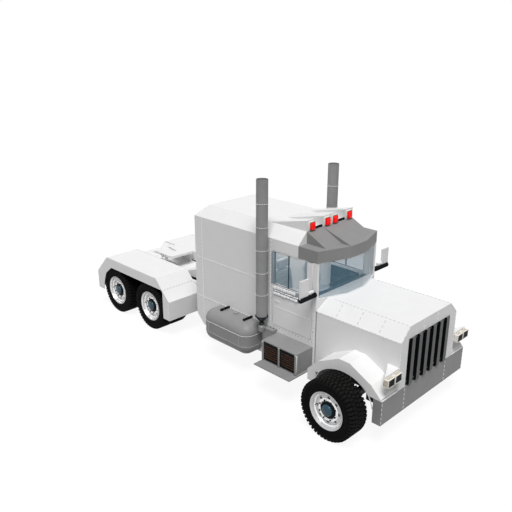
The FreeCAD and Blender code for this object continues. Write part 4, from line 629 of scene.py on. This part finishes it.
seam_lines(hood_seams, [((distance, CAB_HALF - 0.01, shoulder + 0.01), (distance, top_half + 0.01,
    HOOD_TOP - 0.01), (0, 1, 1), *thin_grey) for distance in (0.4, 0.8, 1.2)])
for distance in [1.66 + 0.072 * step for step in range(13)]:
    seams.add(rivet(), BLACK, aim((behind(distance), CAB_HALF, BELT_RIVETS), LEFT))
for z in (0.7, 0.8, 0.9, 1.2, 1.4):
    seams.add(rivet(), BLACK, aim((behind(1.645), CAB_HALF, z), LEFT))
for distance, z in ((0.3, 1.55), (0.9, 0.75), (1.2, 0.75)):
    hood_seams.add(rivet(), "seam_and_shade_grey", aim((behind(distance), CAB_HALF, z), LEFT))
seams.make()
hood_seams.make()

doors_low, doors_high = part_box("door_left")
GLASS_REAR, GLASS_FRONT = doors_low.x + 0.016, doors_high.x - 0.122
GLASS_LOW, GLASS_TOP = 1.8, doors_high.z - 0.012
SKIN, SEAL, INLAY = (-0.06, 0), (-0.026, -0.006), (-0.001, 0.004)  # depths, from the door's outer face


def door_slab(piece, sign, x_range, depth, z_range, chamfer, look=None):
    """A block of a door. depth is where it starts and ends outwards of the door's outer face."""
    near, far = sorted(sign * (CAB_HALF + part) for part in depth)
    piece.box((x_range[0], near, z_range[0]), (x_range[1], far, z_range[1]), chamfer, look)


for word, sign in SIDES:
    body = f"{word}_door"
    wall, inside = sign * CAB_HALF, sign * 0.724
    shell = Piece(f"door_shell_{word}", body)
    for x_range, z_range, look in (((doors_low.x, doors_high.x), (doors_low.z, GLASS_LOW), "white_paint"),
            ((doors_low.x, GLASS_REAR), (GLASS_LOW - 0.006, doors_high.z), "pane_tint"),
            ((GLASS_FRONT, doors_high.x), (GLASS_LOW - 0.006, doors_high.z), "white_paint"),
            ((doors_low.x + 0.004, doors_high.x - 0.004), (GLASS_TOP, doors_high.z), "white_paint")):
        door_slab(shell, sign, x_range, SKIN, z_range, 0.004, look)
    for z in (1.16, 1.72, 2.26):
        x, y = doors_high.x - 0.01, sign * (CAB_HALF - 0.001)
        shell.add(tube([(x, y, z - 0.045), (x, y, z + 0.045)], 0.006))
    shell.make(replaces=[f"door_{word}"])

    pane = Piece(f"door_window_{word}", body, "glass")
    door_slab(pane, sign, (GLASS_REAR + 0.001, GLASS_FRONT - 0.001), (-0.018, -0.01),
        (GLASS_LOW + 0.001, GLASS_TOP - 0.001), 0.0015)
    pane.make(replaces=[f"door_glass_{word}"])

    trim = Piece(f"door_trim_{word}", body)
    dashes(trim, (doors_low.x + 0.02, wall, 1.4), (doors_high.x - 0.03, wall, 1.4), (0, sign, 0))
    sill_from, sill_to = doors_low.x + 0.012, doors_high.x - 0.27
    door_slab(trim, sign, (sill_from, sill_to), INLAY, (1.612, 1.792), 0.002, "sill_grey")
    for base, tall, least, most in ((1.62, 0.052, 0.03, 0.06), (1.684, 0.026, 0.02, 0.035),
            (1.722, 0.062, 0.045, 0.095)):
        x = sill_from + 0.006
        while x < sill_to - most:
            wide = least + (most - least) * CHANCE.random()
            proud = 0.01 + 0.014 * CHANCE.random()
            lift = base + 0.006 * CHANCE.random()
            door_slab(trim, sign, (x, x + wide), (0.002, proud), (lift, lift + tall - 0.006), 0.007,
                "seam_light")
            x += wide + 0.005
    divider = (GLASS_REAR + GLASS_FRONT) / 2 - 0.04
    for x_range, depth, z_range, chamfer, look in (((divider - 0.007, divider + 0.007), (-0.03, -0.006),
            (GLASS_LOW, GLASS_TOP), 0.003, "interior"), ((GLASS_REAR, GLASS_FRONT), SEAL,
            (GLASS_LOW - 0.002, GLASS_LOW + 0.005), 0.002, "rubber"), ((GLASS_REAR, GLASS_FRONT), SEAL,
            (GLASS_TOP - 0.005, GLASS_TOP + 0.002), 0.002, "rubber"), ((GLASS_FRONT - 0.005,
            GLASS_FRONT + 0.002), SEAL, (GLASS_LOW, GLASS_TOP), 0.002, "rubber"), ((1.272, 1.382),
            (-0.001, 0.003), (1.486, 1.514), 0.001, "white_paint"), ((1.28, 1.374), (0.002, 0.008),
            (1.497, 1.509), 0.002, "white_paint"), ((1.25, 1.88), (-0.08, -0.059), (1.09, 1.76), 0.006,
            "interior"), ((1.3, 1.76), (-0.128, -0.076), (1.5, 1.56), 0.014, "interior"),
            ((1.33, 1.56), (-0.1, -0.076), (1.18, 1.3), 0.008, "rubber")):
        door_slab(trim, sign, x_range, depth, z_range, chamfer, look)
    trim.add(tube([(1.8, inside, 1.62), (1.8, sign * 0.694, 1.62), (1.7, sign * 0.694, 1.62),
        (1.7, inside, 1.62)], 0.008), BRIGHT)
    trim.make()

    quarter = Piece(f"quarter_window_{word}", slot="glass")
    door_slab(quarter, sign, (1.172, 1.206), (-0.004, 0.003), (GLASS_LOW, GLASS_TOP), 0.002, "pane_tint")
    quarter.make()


# ---- wheel arches ----

arches = Piece("arch_lips", "hood", paired=True)
ARCH_RADIUS, LIP_RISE, LIP_HALF, ARCH_STEPS = 0.562, 0.514, 0.592, 24
axle_x, outer = (front_low.x + front_high.x) / 2, ARCH_RADIUS + 0.004
for step in range(ARCH_STEPS):
    ring = []
    for end in (0, 1):
        angle = math.radians(11.5 + 157 * (step + end) / ARCH_STEPS)
        inner = LIP_RISE * LIP_HALF / math.hypot(LIP_RISE * math.cos(angle), LIP_HALF * math.sin(angle))
        ring.append((min(inner, ARCH_RADIUS - 0.004), angle))
    corners = [polar(radius, angle, 0) for radius, angle in ring + [(outer, ring[1][1]), (outer, ring[0][1])]]
    arches.add(pushed([(axle_x + x, AXLE_HEIGHT + z) for x, z, _ in corners], 1.184, FENDER_HALF - 0.0005,
        axis=1))
arches.make()

# Splash aprons hang on the chassis between the wheels and the engine, open round the axle.
aprons = Piece("splash_aprons", slot=BLACK, paired=True)
for x0, x1, low_z in ((2.385, 2.9, 0.42), (2.902, 3.21, 0.6), (3.212, 3.585, 0.42)):
    aprons.box((x0, 0.774, low_z), (x1, 0.782, 0.798), 0.003, "rubber")
    aprons.box((x0, 0.766, 0.77), (x1, 0.776, 0.796), 0.003)
    for x, z in product((x0 + 0.05, (x0 + x1) / 2, x1 - 0.05), (0.783, low_z + 0.03)):
        aprons.add(bolt(0.009, 0.006), place=aim((x, 0.781, z), LEFT))
for x in (2.44, 3.54):
    aprons.add(tube([(x, 0.392, 0.8), (x, 0.5, 0.784), (x, 0.77, 0.784)], 0.012, 10))
aprons.make()


# ---- grille mesh, radiator, engine ----

grille = Piece("grille_mesh", "hood", BLACK)
GRILLE_HALF, MESH_X, WIRE = 0.6, FRONT - 0.049, 0.0022
for step in range(61):
    y = -GRILLE_HALF + step * 2 * GRILLE_HALF / 60
    grille.box((MESH_X, y - WIRE, 0.822), (MESH_X + 0.004, y + WIRE, 1.602))
for z in [0.826 + step * 0.0198 for step in range(40)]:
    grille.box((MESH_X - 0.003, -GRILLE_HALF, z - WIRE), (MESH_X + 0.002, GRILLE_HALF, z + WIRE))
grille.box((MESH_X - 0.006, 0.59, 0.815), (MESH_X + 0.006, 0.612, 1.612), 0.002, mirror=True)
for z0, z1 in ((0.812, 0.83), (1.594, 1.612)):
    grille.box((MESH_X - 0.006, -GRILLE_HALF, z0), (MESH_X + 0.006, GRILLE_HALF, z1), 0.002)
for near, z0, z1 in ((0.29, 0.824, 1.26), (0.5, 1.26, 1.59)):  # dark baffles beside the radiator
    grille.box((MESH_X - 0.016, near, z0), (MESH_X - 0.011, 0.596, z1), 0.001, "radiator", mirror=True)
for bar, edge in product((0.1, 0.3, 0.5), (-0.0432, 0.0432)):
    y = bar + edge
    grille.box((MESH_X, y - 0.0014, 0.83), (FRONT + 0.027, y + 0.0014, 1.596), 0.0005, mirror=True)
grille.make()

cooling = Piece("radiator_detail", slot=BLACK)
low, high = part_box("radiator")
FINS = 36
for step in range(FINS):
    y = low.y + 0.03 + step * (high.y - low.y - 0.06) / (FINS - 1)
    for x in (high.x + 0.002, low.x - 0.002):
        cooling.box((x - 0.003, y - 0.003, low.z + 0.07), (x + 0.003, y + 0.003, high.z - 0.07),
            look="radiator")
for z0, z1 in ((low.z, low.z + 0.06), (high.z - 0.06, high.z)):
    cooling.box((low.x - 0.014, low.y + 0.01, z0), (high.x + 0.014, high.y - 0.01, z1), 0.012)
fan = aim((low.x - 0.075, 0, 1.28), AHEAD)
cooling.turn([(0.3, -0.03), (0.318, -0.03), (0.322, 0.0), (0.34, 0.045), (0.33, 0.047), (0.306, 0.0)], 64,
    place=fan)
cooling.turn([(0, -0.045), (0.05, -0.045), (0.07, -0.02), (0.07, 0.02), (0, 0.03)], 32, CAST_AND_SHADE, fan)
for turn in spin(8):
    blade = fan @ turn @ move((0.17, 0, 0)) @ Matrix.Rotation(0.5, 4, "X")
    cooling.box((-0.11, -0.05, -0.003), (0.12, 0.05, 0.003), 0.002, place=blade)
cooling.make()

engine = Piece("engine_detail", slot=CAST_AND_SHADE)
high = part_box("engine_block")[1]
top, fore, aft = high.z, high.x, high.x - 1.09
for x0 in [aft + 0.04 + step * 0.345 for step in range(3)]:
    engine.box((x0, -0.15, top - 0.002), (x0 + 0.32, 0.15, top + 0.075), 0.022, BLACK)
    for k in range(3):
        engine.add(bolt(), BRIGHT, aim((x0 + 0.06 + 0.1 * k, 0.135, top + 0.052), (0, 1, 1)), mirror=True)
engine.add(tube([(aft + 0.1, -0.36, 1.42), (fore - 0.1, -0.36, 1.42)], 0.05, 20))
for x in [aft + 0.13 + step * 0.166 for step in range(6)]:
    engine.add(tube([(x, -0.29, 1.46), (x, -0.33, 1.46), (x, -0.36, 1.43)], 0.032, 16))
    for y0, y1, z0, z1, chamfer in ((-0.312, -0.296, 1.4, 1.51, 0.004), (0.298, 0.312, 0.8, 1.3, 0.005),
            (-0.312, -0.298, 0.8, 1.25, 0.005)):
        engine.box((x - 0.05, y0, z0), (x + 0.05, y1, z1), chamfer)
engine.turn([(0, -0.09), (0.07, -0.09), (0.12, -0.05), (0.13, 0), (0.12, 0.05), (0.07, 0.09), (0, 0.09)], 32,
    BRIGHT, aim((aft + 0.62, -0.46, 1.4), AHEAD))
engine.add(tube([(aft + 0.7, -0.46, 1.44), (aft + 0.86, -0.46, 1.52), (aft + 1.0, -0.4, 1.6),
    (fore + 0.1, -0.34, 1.6), (fore + 0.2, -0.34, 1.58)], 0.045, 20), BLACK)
engine.add(tube([(fore - 0.15, 0.3, 1.48), (fore, 0.34, 1.55), (fore + 0.12, 0.36, 1.6),
    (fore + 0.24, 0.36, 1.62)], 0.035, 20), BLACK)
engine.box((aft + 0.15, 0.298, 1.34), (fore - 0.15, 0.372, 1.5), 0.02, "grey_metal")
for y, z, radius in ((0.0, 1.28, 0.11), (0.2, 1.1, 0.07), (-0.19, 1.06, 0.08), (0.0, 0.86, 0.12)):  # pulleys
    engine.turn([(0, 0), (radius, 0), (radius * 0.92, 0.012), (radius * 0.92, 0.026), (radius, 0.038),
        (0, 0.042)], 40, BLACK, aim((fore - 0.002, y, z), AHEAD))
for x in (aft + 0.3, aft + 0.46):  # filters
    engine.turn([(0, 0), (0.055, 0), (0.058, 0.01), (0.058, 0.19), (0.045, 0.205), (0, 0.205)], 32,
        "white_paint", aim((x, 0.345, 0.72)))
engine.turn([(0, 0), (0.07, 0), (0.08, 0.02), (0.08, 0.15), (0.06, 0.17), (0, 0.17)], 32, "grey_metal",
    aim((fore - 0.22, 0.375, 1.14), AHEAD))
engine.make()


# ---- mirrors, grips, stacks ----

mirrors = Piece("mirror_glass", slot=BRIGHT, paired=True)
low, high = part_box("mirrors")
ARM_TOP = 1.908
back = high.x - 0.038
mirrors.box((back - 0.003, high.y - 0.183, ARM_TOP + 0.012), (back + 0.002, high.y - 0.012, high.z - 0.012),
    0.001, "mirror_glass")
for z in (ARM_TOP + 0.03, high.z - 0.05):
    mirrors.add(rivet(), "seam_and_shade_grey", aim((high.x - 0.014, high.y - 0.02, z), AHEAD))
grips = Piece("grips", slot=BLACK, paired=True)
for x, y, length, z, radius in (((low.x + high.x) / 2, 0.815, 0.375, 1.884, 0.045),
        (behind(3.06), 0.815, 0.203, 1.018, 0.024), (behind(3.66), 0.815, 0.203, 1.018, 0.024),
        (behind(2.018), 0.205, 0.19, 2.818, 0.022)):
    profile = [(0, 0), (radius * 0.8, 0)]
    count = max(4, int(length / 0.034))
    for k in range(count):
        profile += [(radius, length * (k + 0.25) / count), (radius, length * (k + 0.7) / count),
            (radius * 0.86, length * (k + 0.85) / count)]
    grips.turn(profile + [(radius * 0.8, length), (0, length)], 20, place=aim((x, y, z), LEFT))
grips.make()
mirrors.make()

pipes = Piece("stack_detail", slot=BRIGHT, paired=True)
low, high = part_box("exhaust_stacks")
stack = move(((low.x + high.x) / 2, CAB_HALF + 0.12, 0))
for level, turn in product(range(1, 6), spin(16)):
    pipes.box((0.103, -0.013, -0.005), (0.1065, 0.013, 0.005), 0.001, "seam_light",
        stack @ move((0, 0, low.z + 0.4 * level)) @ turn)
pipes.turn([(0.094, 0), (0.1015, 0), (0.103, 0.004), (0.1015, 0.008), (0.094, 0.008)], 48, "stack_metal",
    stack @ move((0, 0, high.z - 0.009)))
for x, y in circle(6, 0.5):
    pipes.add(bolt(0.008, 0.01), BLACK, stack @ aim((0.105 * x, 0.105 * y, low.z - 0.022), (0, 0, -1)))
for x in (0.13, 0.2):
    pipes.add(bolt(), BLACK, stack @ aim((x, -0.09, DECK_TOP)))
pipes.make()


# ---- tanks, side boxes and steps ----

def studs(piece, counts, start, pitch, z, half, height, look=None):
    """Tread studs on a plate: short bars that turn alternately. counts, start and pitch are along X and Y."""
    for one, two in product(range(counts[0]), range(counts[1])):
        place = (start[0] + one * pitch[0], start[1] + two * pitch[1], z)
        piece.box((-half, -0.003, -0.001), (half, 0.003, height), 0.001, look, aim(place, UP,
            math.pi / 4 * (1 if (one + two) % 2 else -1)))


tank = Piece("tank_detail", slot="grey_metal", paired=True)
low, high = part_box("fuel_tanks")
CORNER = 0.2
outline = [(high.x, CAB_HALF + 0.01)]
for x, start in ((high.x - CORNER, 0), (low.x + CORNER, 90)):
    for angle in [math.radians(start + step * 90 / 8) for step in range(9)]:
        outline.append((x + CORNER * math.cos(angle), high.y - CORNER + CORNER * math.sin(angle)))
outline.append((low.x, CAB_HALF + 0.01))
for z, look in ((0.805, "seam_light"), (0.595, "seam_and_shade_grey")):
    tank.add(tube([(x, y, z) for x, y in outline], 0.0035, 8), look)
for x in (high.x - CORNER, low.x + CORNER):
    tank.add(tube([(x, high.y, 0.6), (x, high.y, 0.8)], 0.003, 8), "seam_and_shade_grey")
tank.turn([(0, -0.01), (0.055, -0.01), (0.055, 0.006), (0.046, 0.01), (0.046, 0.024), (0.04, 0.028),
    (0, 0.028)], 40, place=aim((low.x + 0.62, CAB_HALF + 0.085, high.z)))
for x, y in product((high.x - 0.26, high.x - 0.86), (0.835, 0.995)):
    tank.box((x - 0.022, y - 0.012, high.z - 0.004), (x + 0.022, y + 0.012, high.z + 0.006), 0.002, BLACK)
tank.make()

steps = Piece("step_detail", slot="grey_metal", paired=True)
studs(steps, (26, 4), (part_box("side_boxes")[0].x + 0.03, 1.225), (0.0292, 0.047), 0.56, 0.011, 0.003)
low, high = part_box("box_louvres")
for x in (behind(1.658), behind(2.025), behind(2.392)):
    steps.turn([(0, 0), (0.0195, 0), (0.0195, 0.006), (0.015, 0.01), (0, 0.01)], 24, "seam_and_shade_grey",
        aim((x, 1.2, high.z - 0.002)))
for x0, x1 in ((behind(2.38), behind(2.05)), (behind(2.0), behind(1.67))):
    steps.box((x0, 1.15, high.z - 0.004), (x1, 1.2, high.z + 0.006), 0.002, BLACK)
for x0, x1 in ((behind(2.388), behind(2.042)), (behind(2.008), behind(1.662))):
    for z in [low.z + gap * 0.0415 - 0.013 for gap in range(1, 8)]:
        steps.box((x0 + 0.02, 1.196, z), (x1 - 0.02, 1.1985, z + 0.023), 0.001, BLACK)
    for start, end in (((x0, low.z), (x1, low.z + 0.03)), ((x0, high.z - 0.034), (x1, high.z)),
            ((x0, low.z), (x0 + 0.022, high.z)), ((x1 - 0.022, low.z), (x1, high.z))):
        steps.box((start[0], 1.19, start[1]), (end[0], 1.1995, end[1]), 0.002, BLACK)
for x in (behind(1.645), behind(2.025), behind(2.405)):
    steps.box((x - 0.02, 1.18, low.z - 0.018), (x + 0.02, 1.2075, high.z + 0.006), 0.01, "stack_light")
steps.make()


# ---- chassis details ----

under = Piece("chassis_detail", slot="grey_paint", paired=True)
RAIL_FACE, AIR_TANK_Y, CHAMBER_Y, SHAFT_Z = 0.39, 0.17, 0.42, 0.5
for step in range(40):
    for z in (0.755, 0.915) if step % 2 else (0.835,):
        under.add(bolt(0.01, 0.008), BLACK, aim((behind(0.42 + step * 0.18), RAIL_FACE, z), LEFT))
under.turn([(0, 0), (0.06, 0.005), (0.1, 0.03), (0.105, 0.06), (0.105, 0.54), (0.1, 0.57), (0.06, 0.595),
    (0, 0.6)], 40, BLACK, aim((behind(4.87), AIR_TANK_Y, 0.83), AHEAD))
for x in (4.4, 4.74):
    under.add(hoop(0.104, 0.109, 0, 0.03, 40), "grey_metal", aim((behind(x), AIR_TANK_Y, 0.83), AHEAD))
for axle, reach, low_z, high_z in ((0.71, 0.07, 0.415, 0.585), (REAR_AXLES[0], 0.05, 0.4, 0.705),
        (REAR_AXLES[1], 0.05, 0.4, 0.705)):
    for x, sign in product((behind(axle) - reach, behind(axle) + reach), ENDS):
        near, far = sign * 0.318, sign * 0.392
        under.add(tube([(x, near, low_z), (x, near, high_z), (x, far, high_z), (x, far, low_z)], 0.009, 8),
            BLACK, mirror=False)
under.box((behind(0.81), 0.31, 0.405), (behind(0.61), 0.4, 0.43), 0.004, CAST_AND_SHADE)
for axle in [behind(distance) for distance in REAR_AXLES]:
    under.turn([(0, 0), (0.05, 0), (0.085, 0.02), (0.085, 0.07), (0.092, 0.074), (0.092, 0.084),
        (0.085, 0.09), (0.085, 0.15), (0.05, 0.17), (0, 0.17)], 32, BLACK, aim((axle - 0.14, CHAMBER_Y, 0.56),
        (-1, 0, 0.35)))
    for sign in ENDS:
        under.add(tube([(axle - 0.14, sign * CHAMBER_Y, 0.56), (axle - 0.05, sign * 0.46, 0.53)], 0.014),
            CAST_AND_SHADE, mirror=False)
    for y, z in circle(10):
        under.add(bolt(0.01, 0.012), BLACK, aim((axle + 0.178, 0.1 * y, SHAFT_Z + 0.1 * z), AHEAD),
            mirror=False)
    under.turn([(0.12, -0.012), (0.13, 0.0), (0.12, 0.012), (0.06, 0.026), (0.05, 0.026), (0.05, -0.012)], 40,
        CAST_AND_SHADE, aim((axle + 0.165, 0, SHAFT_Z), AHEAD), False)
under.make()

deck = Piece("deck_detail", slot="white_paint", paired=True)
studs(deck, (15, 4), (behind(4.7), 0.262), (-0.029, 0.034), DECK_TOP, 0.01, 0.0025, "seam_and_shade_grey")
for x0, x1 in ((3.25, 3.7), (2.98, 3.24), (2.3, 2.97), (2.03, 2.29)):
    deck.box((-x1, -0.385, 0.968), (-x0, 0.385, 0.986), 0.004, mirror=False)
for x0, x1 in ((3.46, 3.24), (3.235, 3.01)):
    deck.add(pushed([(0.388, 1.192), (0.388, 0.984), (0.19, 0.984), (0.19, 0.994)], -x0, -x1, axis=0))
wall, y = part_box("sleeper_shell")[0].x, 0.31
deck.box((wall - 0.01, y - 0.045, 1.22), (wall + 0.002, y + 0.045, 1.32), 0.003, BLACK)
deck.turn([(0, 0), (0.022, 0), (0.022, 0.02), (0.034, 0.026), (0.034, 0.048), (0.026, 0.056), (0, 0.056)], 24,
    BLACK, aim((wall - 0.008, y, 1.27), (-1, 0, 0.3)))
for side, z in product((-0.035, 0.035), (1.232, 1.308)):
    deck.add(bolt(0.007, 0.005), BRIGHT, aim((wall - 0.01, y + side, z), ASTERN))
deck.box((FRONT - 0.155, CAB_HALF + 0.006, 0.799), (FRONT - 0.002, 1.194, 0.8062), 0.002)
deck.make()

coupler = Piece("coupler_detail", "coupler", CAST_AND_SHADE, paired=True)
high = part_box("fifth_wheel")[1]
plate, centre_x = high.z, behind(FIFTH_WHEEL)
for x0, x1 in ((0.02, 0.22), (-0.22, -0.06)):
    coupler.box((centre_x + x0, 0.194, plate - 0.002), (centre_x + x1, 0.206, plate - 0.0003), 0, "seam_and_shade_grey")
for x in (-0.08, 0.0, 0.08):
    coupler.add(bolt(0.011, 0.008), BLACK, aim((centre_x + x, high.y * 0.914, plate - 0.028), LEFT))
for sign in ENDS:
    coupler.add(tube([(centre_x - 0.1, sign * 0.1, plate - 0.06), (centre_x + 0.12, sign * 0.06,
        plate - 0.06)], 0.018), mirror=False)
coupler.add(tube([(centre_x + 0.05, -0.2, plate - 0.066), (centre_x + 0.05, -0.335, plate - 0.066),
    (centre_x + 0.09, -0.342, plate - 0.066)], 0.008, 10), BRIGHT, mirror=False)
coupler.make()


# ---- inside the cab ----

SEAT_Y = 0.39


def seat_back_place(sign):
    """The back's own frame: X up along it, Y across, Z out of its front face."""
    foot, head = [Vector((behind(distance), sign * SEAT_Y, z)) for distance, z in ((2.665, 1.34),
        (2.738, 2.03))]
    up = (head - foot).normalized()
    out = up.cross(Vector(LEFT))
    out = out if out.x > 0 else -out
    return move((foot + head) / 2) @ Matrix((up, out.cross(up), out)).transposed().to_4x4()


def edge_roll(half, level):
    """A piping cord round the edge of a cushion, as a closed path."""
    inset, pinch, path = 0.012, 0.04, []
    for x, y in circle(40) + circle(1):
        size = (abs(x) ** 5 + abs(y) ** 5) ** 0.2
        x, y = x / size, y / size
        path.append(((half[0] - inset) * x * (1 - pinch * (1 - y * y)),
            (half[1] - inset) * y * (1 - pinch * (1 - x * x)), level))
    return path


for word, sign in SIDES:
    for name, half, place, channels in (("cushion", (0.238, 0.236, 0.07), move((behind(2.38), sign * SEAT_Y,
            1.334)), 5), ("back", (0.29, 0.226, 0.05), seat_back_place(sign) @ move((-0.045, 0, 0)), 6),
            ("headrest", (0.085, 0.15, 0.042), seat_back_place(sign) @ move((0.33, 0, 0)), 0)):
        soft = Piece(f"seat_{name}_{word}", slot="seat_cloth")
        soft.add(pillow(half, 4.5, 28, channels), place=place)
        soft.add(tube(edge_roll(half, half[2] * 0.52), 0.005, 8), "seat_piping", place)
        soft.make(replaces=["seats"])
    base = Piece(f"seat_base_{word}", slot=BLACK)
    x, y = behind(2.37), sign * SEAT_Y
    base.box((x - 0.19, y - 0.17, 1.03), (x + 0.19, y + 0.17, 1.05), 0.005)
    bellows = [(radius, level + fold * 0.028) for fold in range(7) for radius, level in ((0.125, 1.05),
        (0.148, 1.064))]
    base.turn([(0, 1.05)] + bellows + [(0.13, 1.25), (0, 1.25)], 32, "rubber", move((x, y, 0)))
    base.box((x - 0.21, y - 0.2, 1.245), (x + 0.21, y + 0.2, 1.276), 0.006)
    for side in (y - 0.215, y + 0.215):
        base.box((x - 0.17, side - 0.012, 1.235), (x + 0.17, side + 0.012, 1.262), 0.005, "interior")
    base.make()

dash = Piece("dash_detail", slot="interior")
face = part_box("dashboard")[0].x
wheel_y = sum(corner.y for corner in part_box("steering_wheel")) / 2
dash.box((face - 0.012, wheel_y - 0.27, 1.6), (face + 0.004, wheel_y + 0.27, 1.775), 0.008)
for y, z, radius in ((-0.07, 1.69, 0.055), (0.07, 1.69, 0.055), (-0.19, 1.73, 0.028), (-0.19, 1.65, 0.028),
        (0.19, 1.73, 0.028), (0.19, 1.65, 0.028)):
    gauge = aim((face - 0.012, wheel_y + y, z), ASTERN)
    dash.turn([(radius, -0.002), (radius + 0.006, -0.002), (radius + 0.006, 0.007), (radius, 0.004)], 40,
        BRIGHT, gauge)
    dash.turn([(0, 0.0), (radius, 0.0), (radius, 0.002), (0, 0.002)], 40, BLACK, gauge)
    for degrees in range(-40, 221, 26):
        turn = Matrix.Rotation(math.radians(degrees), 4, "Z")
        dash.box((-radius * 0.09, -0.0012, 0), (radius * 0.09, 0.0012, 0.0008), 0, "dial",
            gauge @ turn @ move((radius * 0.84, 0, 0.0018)))
    dash.box((-radius * 0.15, -0.0015, 0.002), (radius * 0.72, 0.0015, 0.0035), 0, "red_lens",
        gauge @ Matrix.Rotation(math.radians(200), 4, "Z"))
for y, slat in product((-0.6, -0.42, -0.1, 0.02), range(6)):
    z = 1.655 + slat * 0.017
    dash.box((face - 0.006, y - 0.055, z), (face + 0.002, y + 0.055, z + 0.008), 0.002, "rubber")
dash.box((face - 0.01, -0.7, 1.5), (face + 0.002, -0.3, 1.61), 0.006)
dash.box((face - 0.01, -0.14, 1.5), (face + 0.002, 0.1, 1.62), 0.006, "rubber")
for y in [-0.125 + step * 0.037 for step in range(6)]:
    dash.box((face - 0.015, y, 1.575), (face - 0.008, y + 0.025, 1.6), 0.002, "dial")
dash.box((behind(2.22), -0.1, 1.03), (behind(1.93), 0.1, 1.16), 0.02)
dash.add(tube([(behind(2.12), 0.0, 1.15), (behind(2.12), 0.0, 1.3), (behind(2.15), 0.02, 1.42)], 0.009),
    BRIGHT)
dash.add(pillow((0.026, 0.026, 0.034), 2.6, 10, pinch=0.0), "rubber", move((behind(2.152), 0.022, 1.435)))
for y in (0.22, 0.36, 0.52):  # pedals
    dash.box((behind(1.86), y - 0.045, 1.07), (behind(1.835), y + 0.045, 1.17), 0.008, "rubber")
    dash.add(tube([(behind(1.85), y, 1.12), (behind(1.75), y, 1.3), (behind(1.7), y, 1.48)], 0.01, 10), BLACK)
for y in [-0.7 + step * 0.061 for step in range(24)]:
    dash.box((behind(2.13), y - 0.012, 1.028), (behind(1.7), y + 0.012, 1.035), 0.003, "rubber")
dash.box((behind(2.02), 0.19, 2.5), (behind(1.9), 0.57, 2.522), 0.008, mirror=True)
dash.make()

column = Piece("steering_detail", slot="interior")
tilt = math.radians(35)
hub = aim((behind(2.01), wheel_y, 1.7), (-math.sin(tilt), 0, math.cos(tilt)))
column.turn([(0, -0.02), (0.062, -0.02), (0.066, 0.0), (0.06, 0.018), (0.03, 0.026), (0, 0.027)], 40,
    place=hub)
for turn, shift in product(spin(3, 0.75), (-0.016, 0.016)):
    column.add(rivet(0.005, 0.004), BRIGHT, hub @ turn @ move((0.045, shift, 0.02)))
column.make()


# ---- floor, light and camera ----

def stage_look():
    """A white floor for the camera and for reflections that keeps a light shadow of the object."""
    material = bpy.data.materials.new("stage_floor")
    tree = Nodes(material)
    tree.nodes.clear()
    seen = tree.seen_directly()
    tone = tree.put("MapRange", seen, To_Min=0.36, To_Max=0.8)
    matte, white = tree.put("BsdfDiffuse", (tone, "Result")), tree.put("Emission", Strength=1.04)
    mix = tree.put("MixShader", tree.math("MULTIPLY", seen, 0.88), (matte, "BSDF"), (white, "Emission"))
    tree.put("OutputMaterial", (mix, "Shader"))
    return material


REACH = 60.0
floor_mesh = bpy.data.meshes.new("floor")
floor_mesh.from_pydata([(REACH * x, REACH * y, 0) for x, y in ((-1, -1), (1, -1), (1, 1), (-1, 1))], [],
    [(0, 1, 2, 3)])
floor_mesh.materials.append(stage_look())
stand("floor", floor_mesh)

world = bpy.context.scene.world = bpy.data.worlds.new("studio")
sky = Nodes(world)
level = sky.put("MapRange", sky.seen_directly(), To_Min=0.25, To_Max=1.0)
sky.give(sky.nodes["Background"], Color=(1, 1, 1, 1), Strength=(level, "Result"))

sun = bpy.data.lights.new("sun", "SUN")
sun.energy, sun.angle = 2.95, math.radians(28)
stand("sun", sun).rotation_euler = Vector((0.25, -0.26, 0.76)).to_track_quat("Z", "Y").to_euler()
for name, x, width in (("cab_lamp", 1.5, 0.6), ("sleeper_lamp", 0.2, 1.6)):
    dome = bpy.data.lights.new(name, "AREA")
    dome.shape, dome.size, dome.size_y, dome.energy = "RECTANGLE", width, 1.1, 8.5 * width
    stand(name, dome, (x, 0, HOOD_TOP + 0.9)).visible_camera = False

camera = bpy.data.cameras.new("camera")
camera.sensor_width, camera.lens, camera.clip_end = 36.0, 43.56, 400.0
camera_object = stand("camera", camera, (7.93, -7.903, 5.752))
camera_object.rotation_euler = (math.radians(70.526), 0, math.radians(45.09))
bpy.context.scene.camera = camera_object
bpy.context.scene.view_settings.view_transform = "Standard"
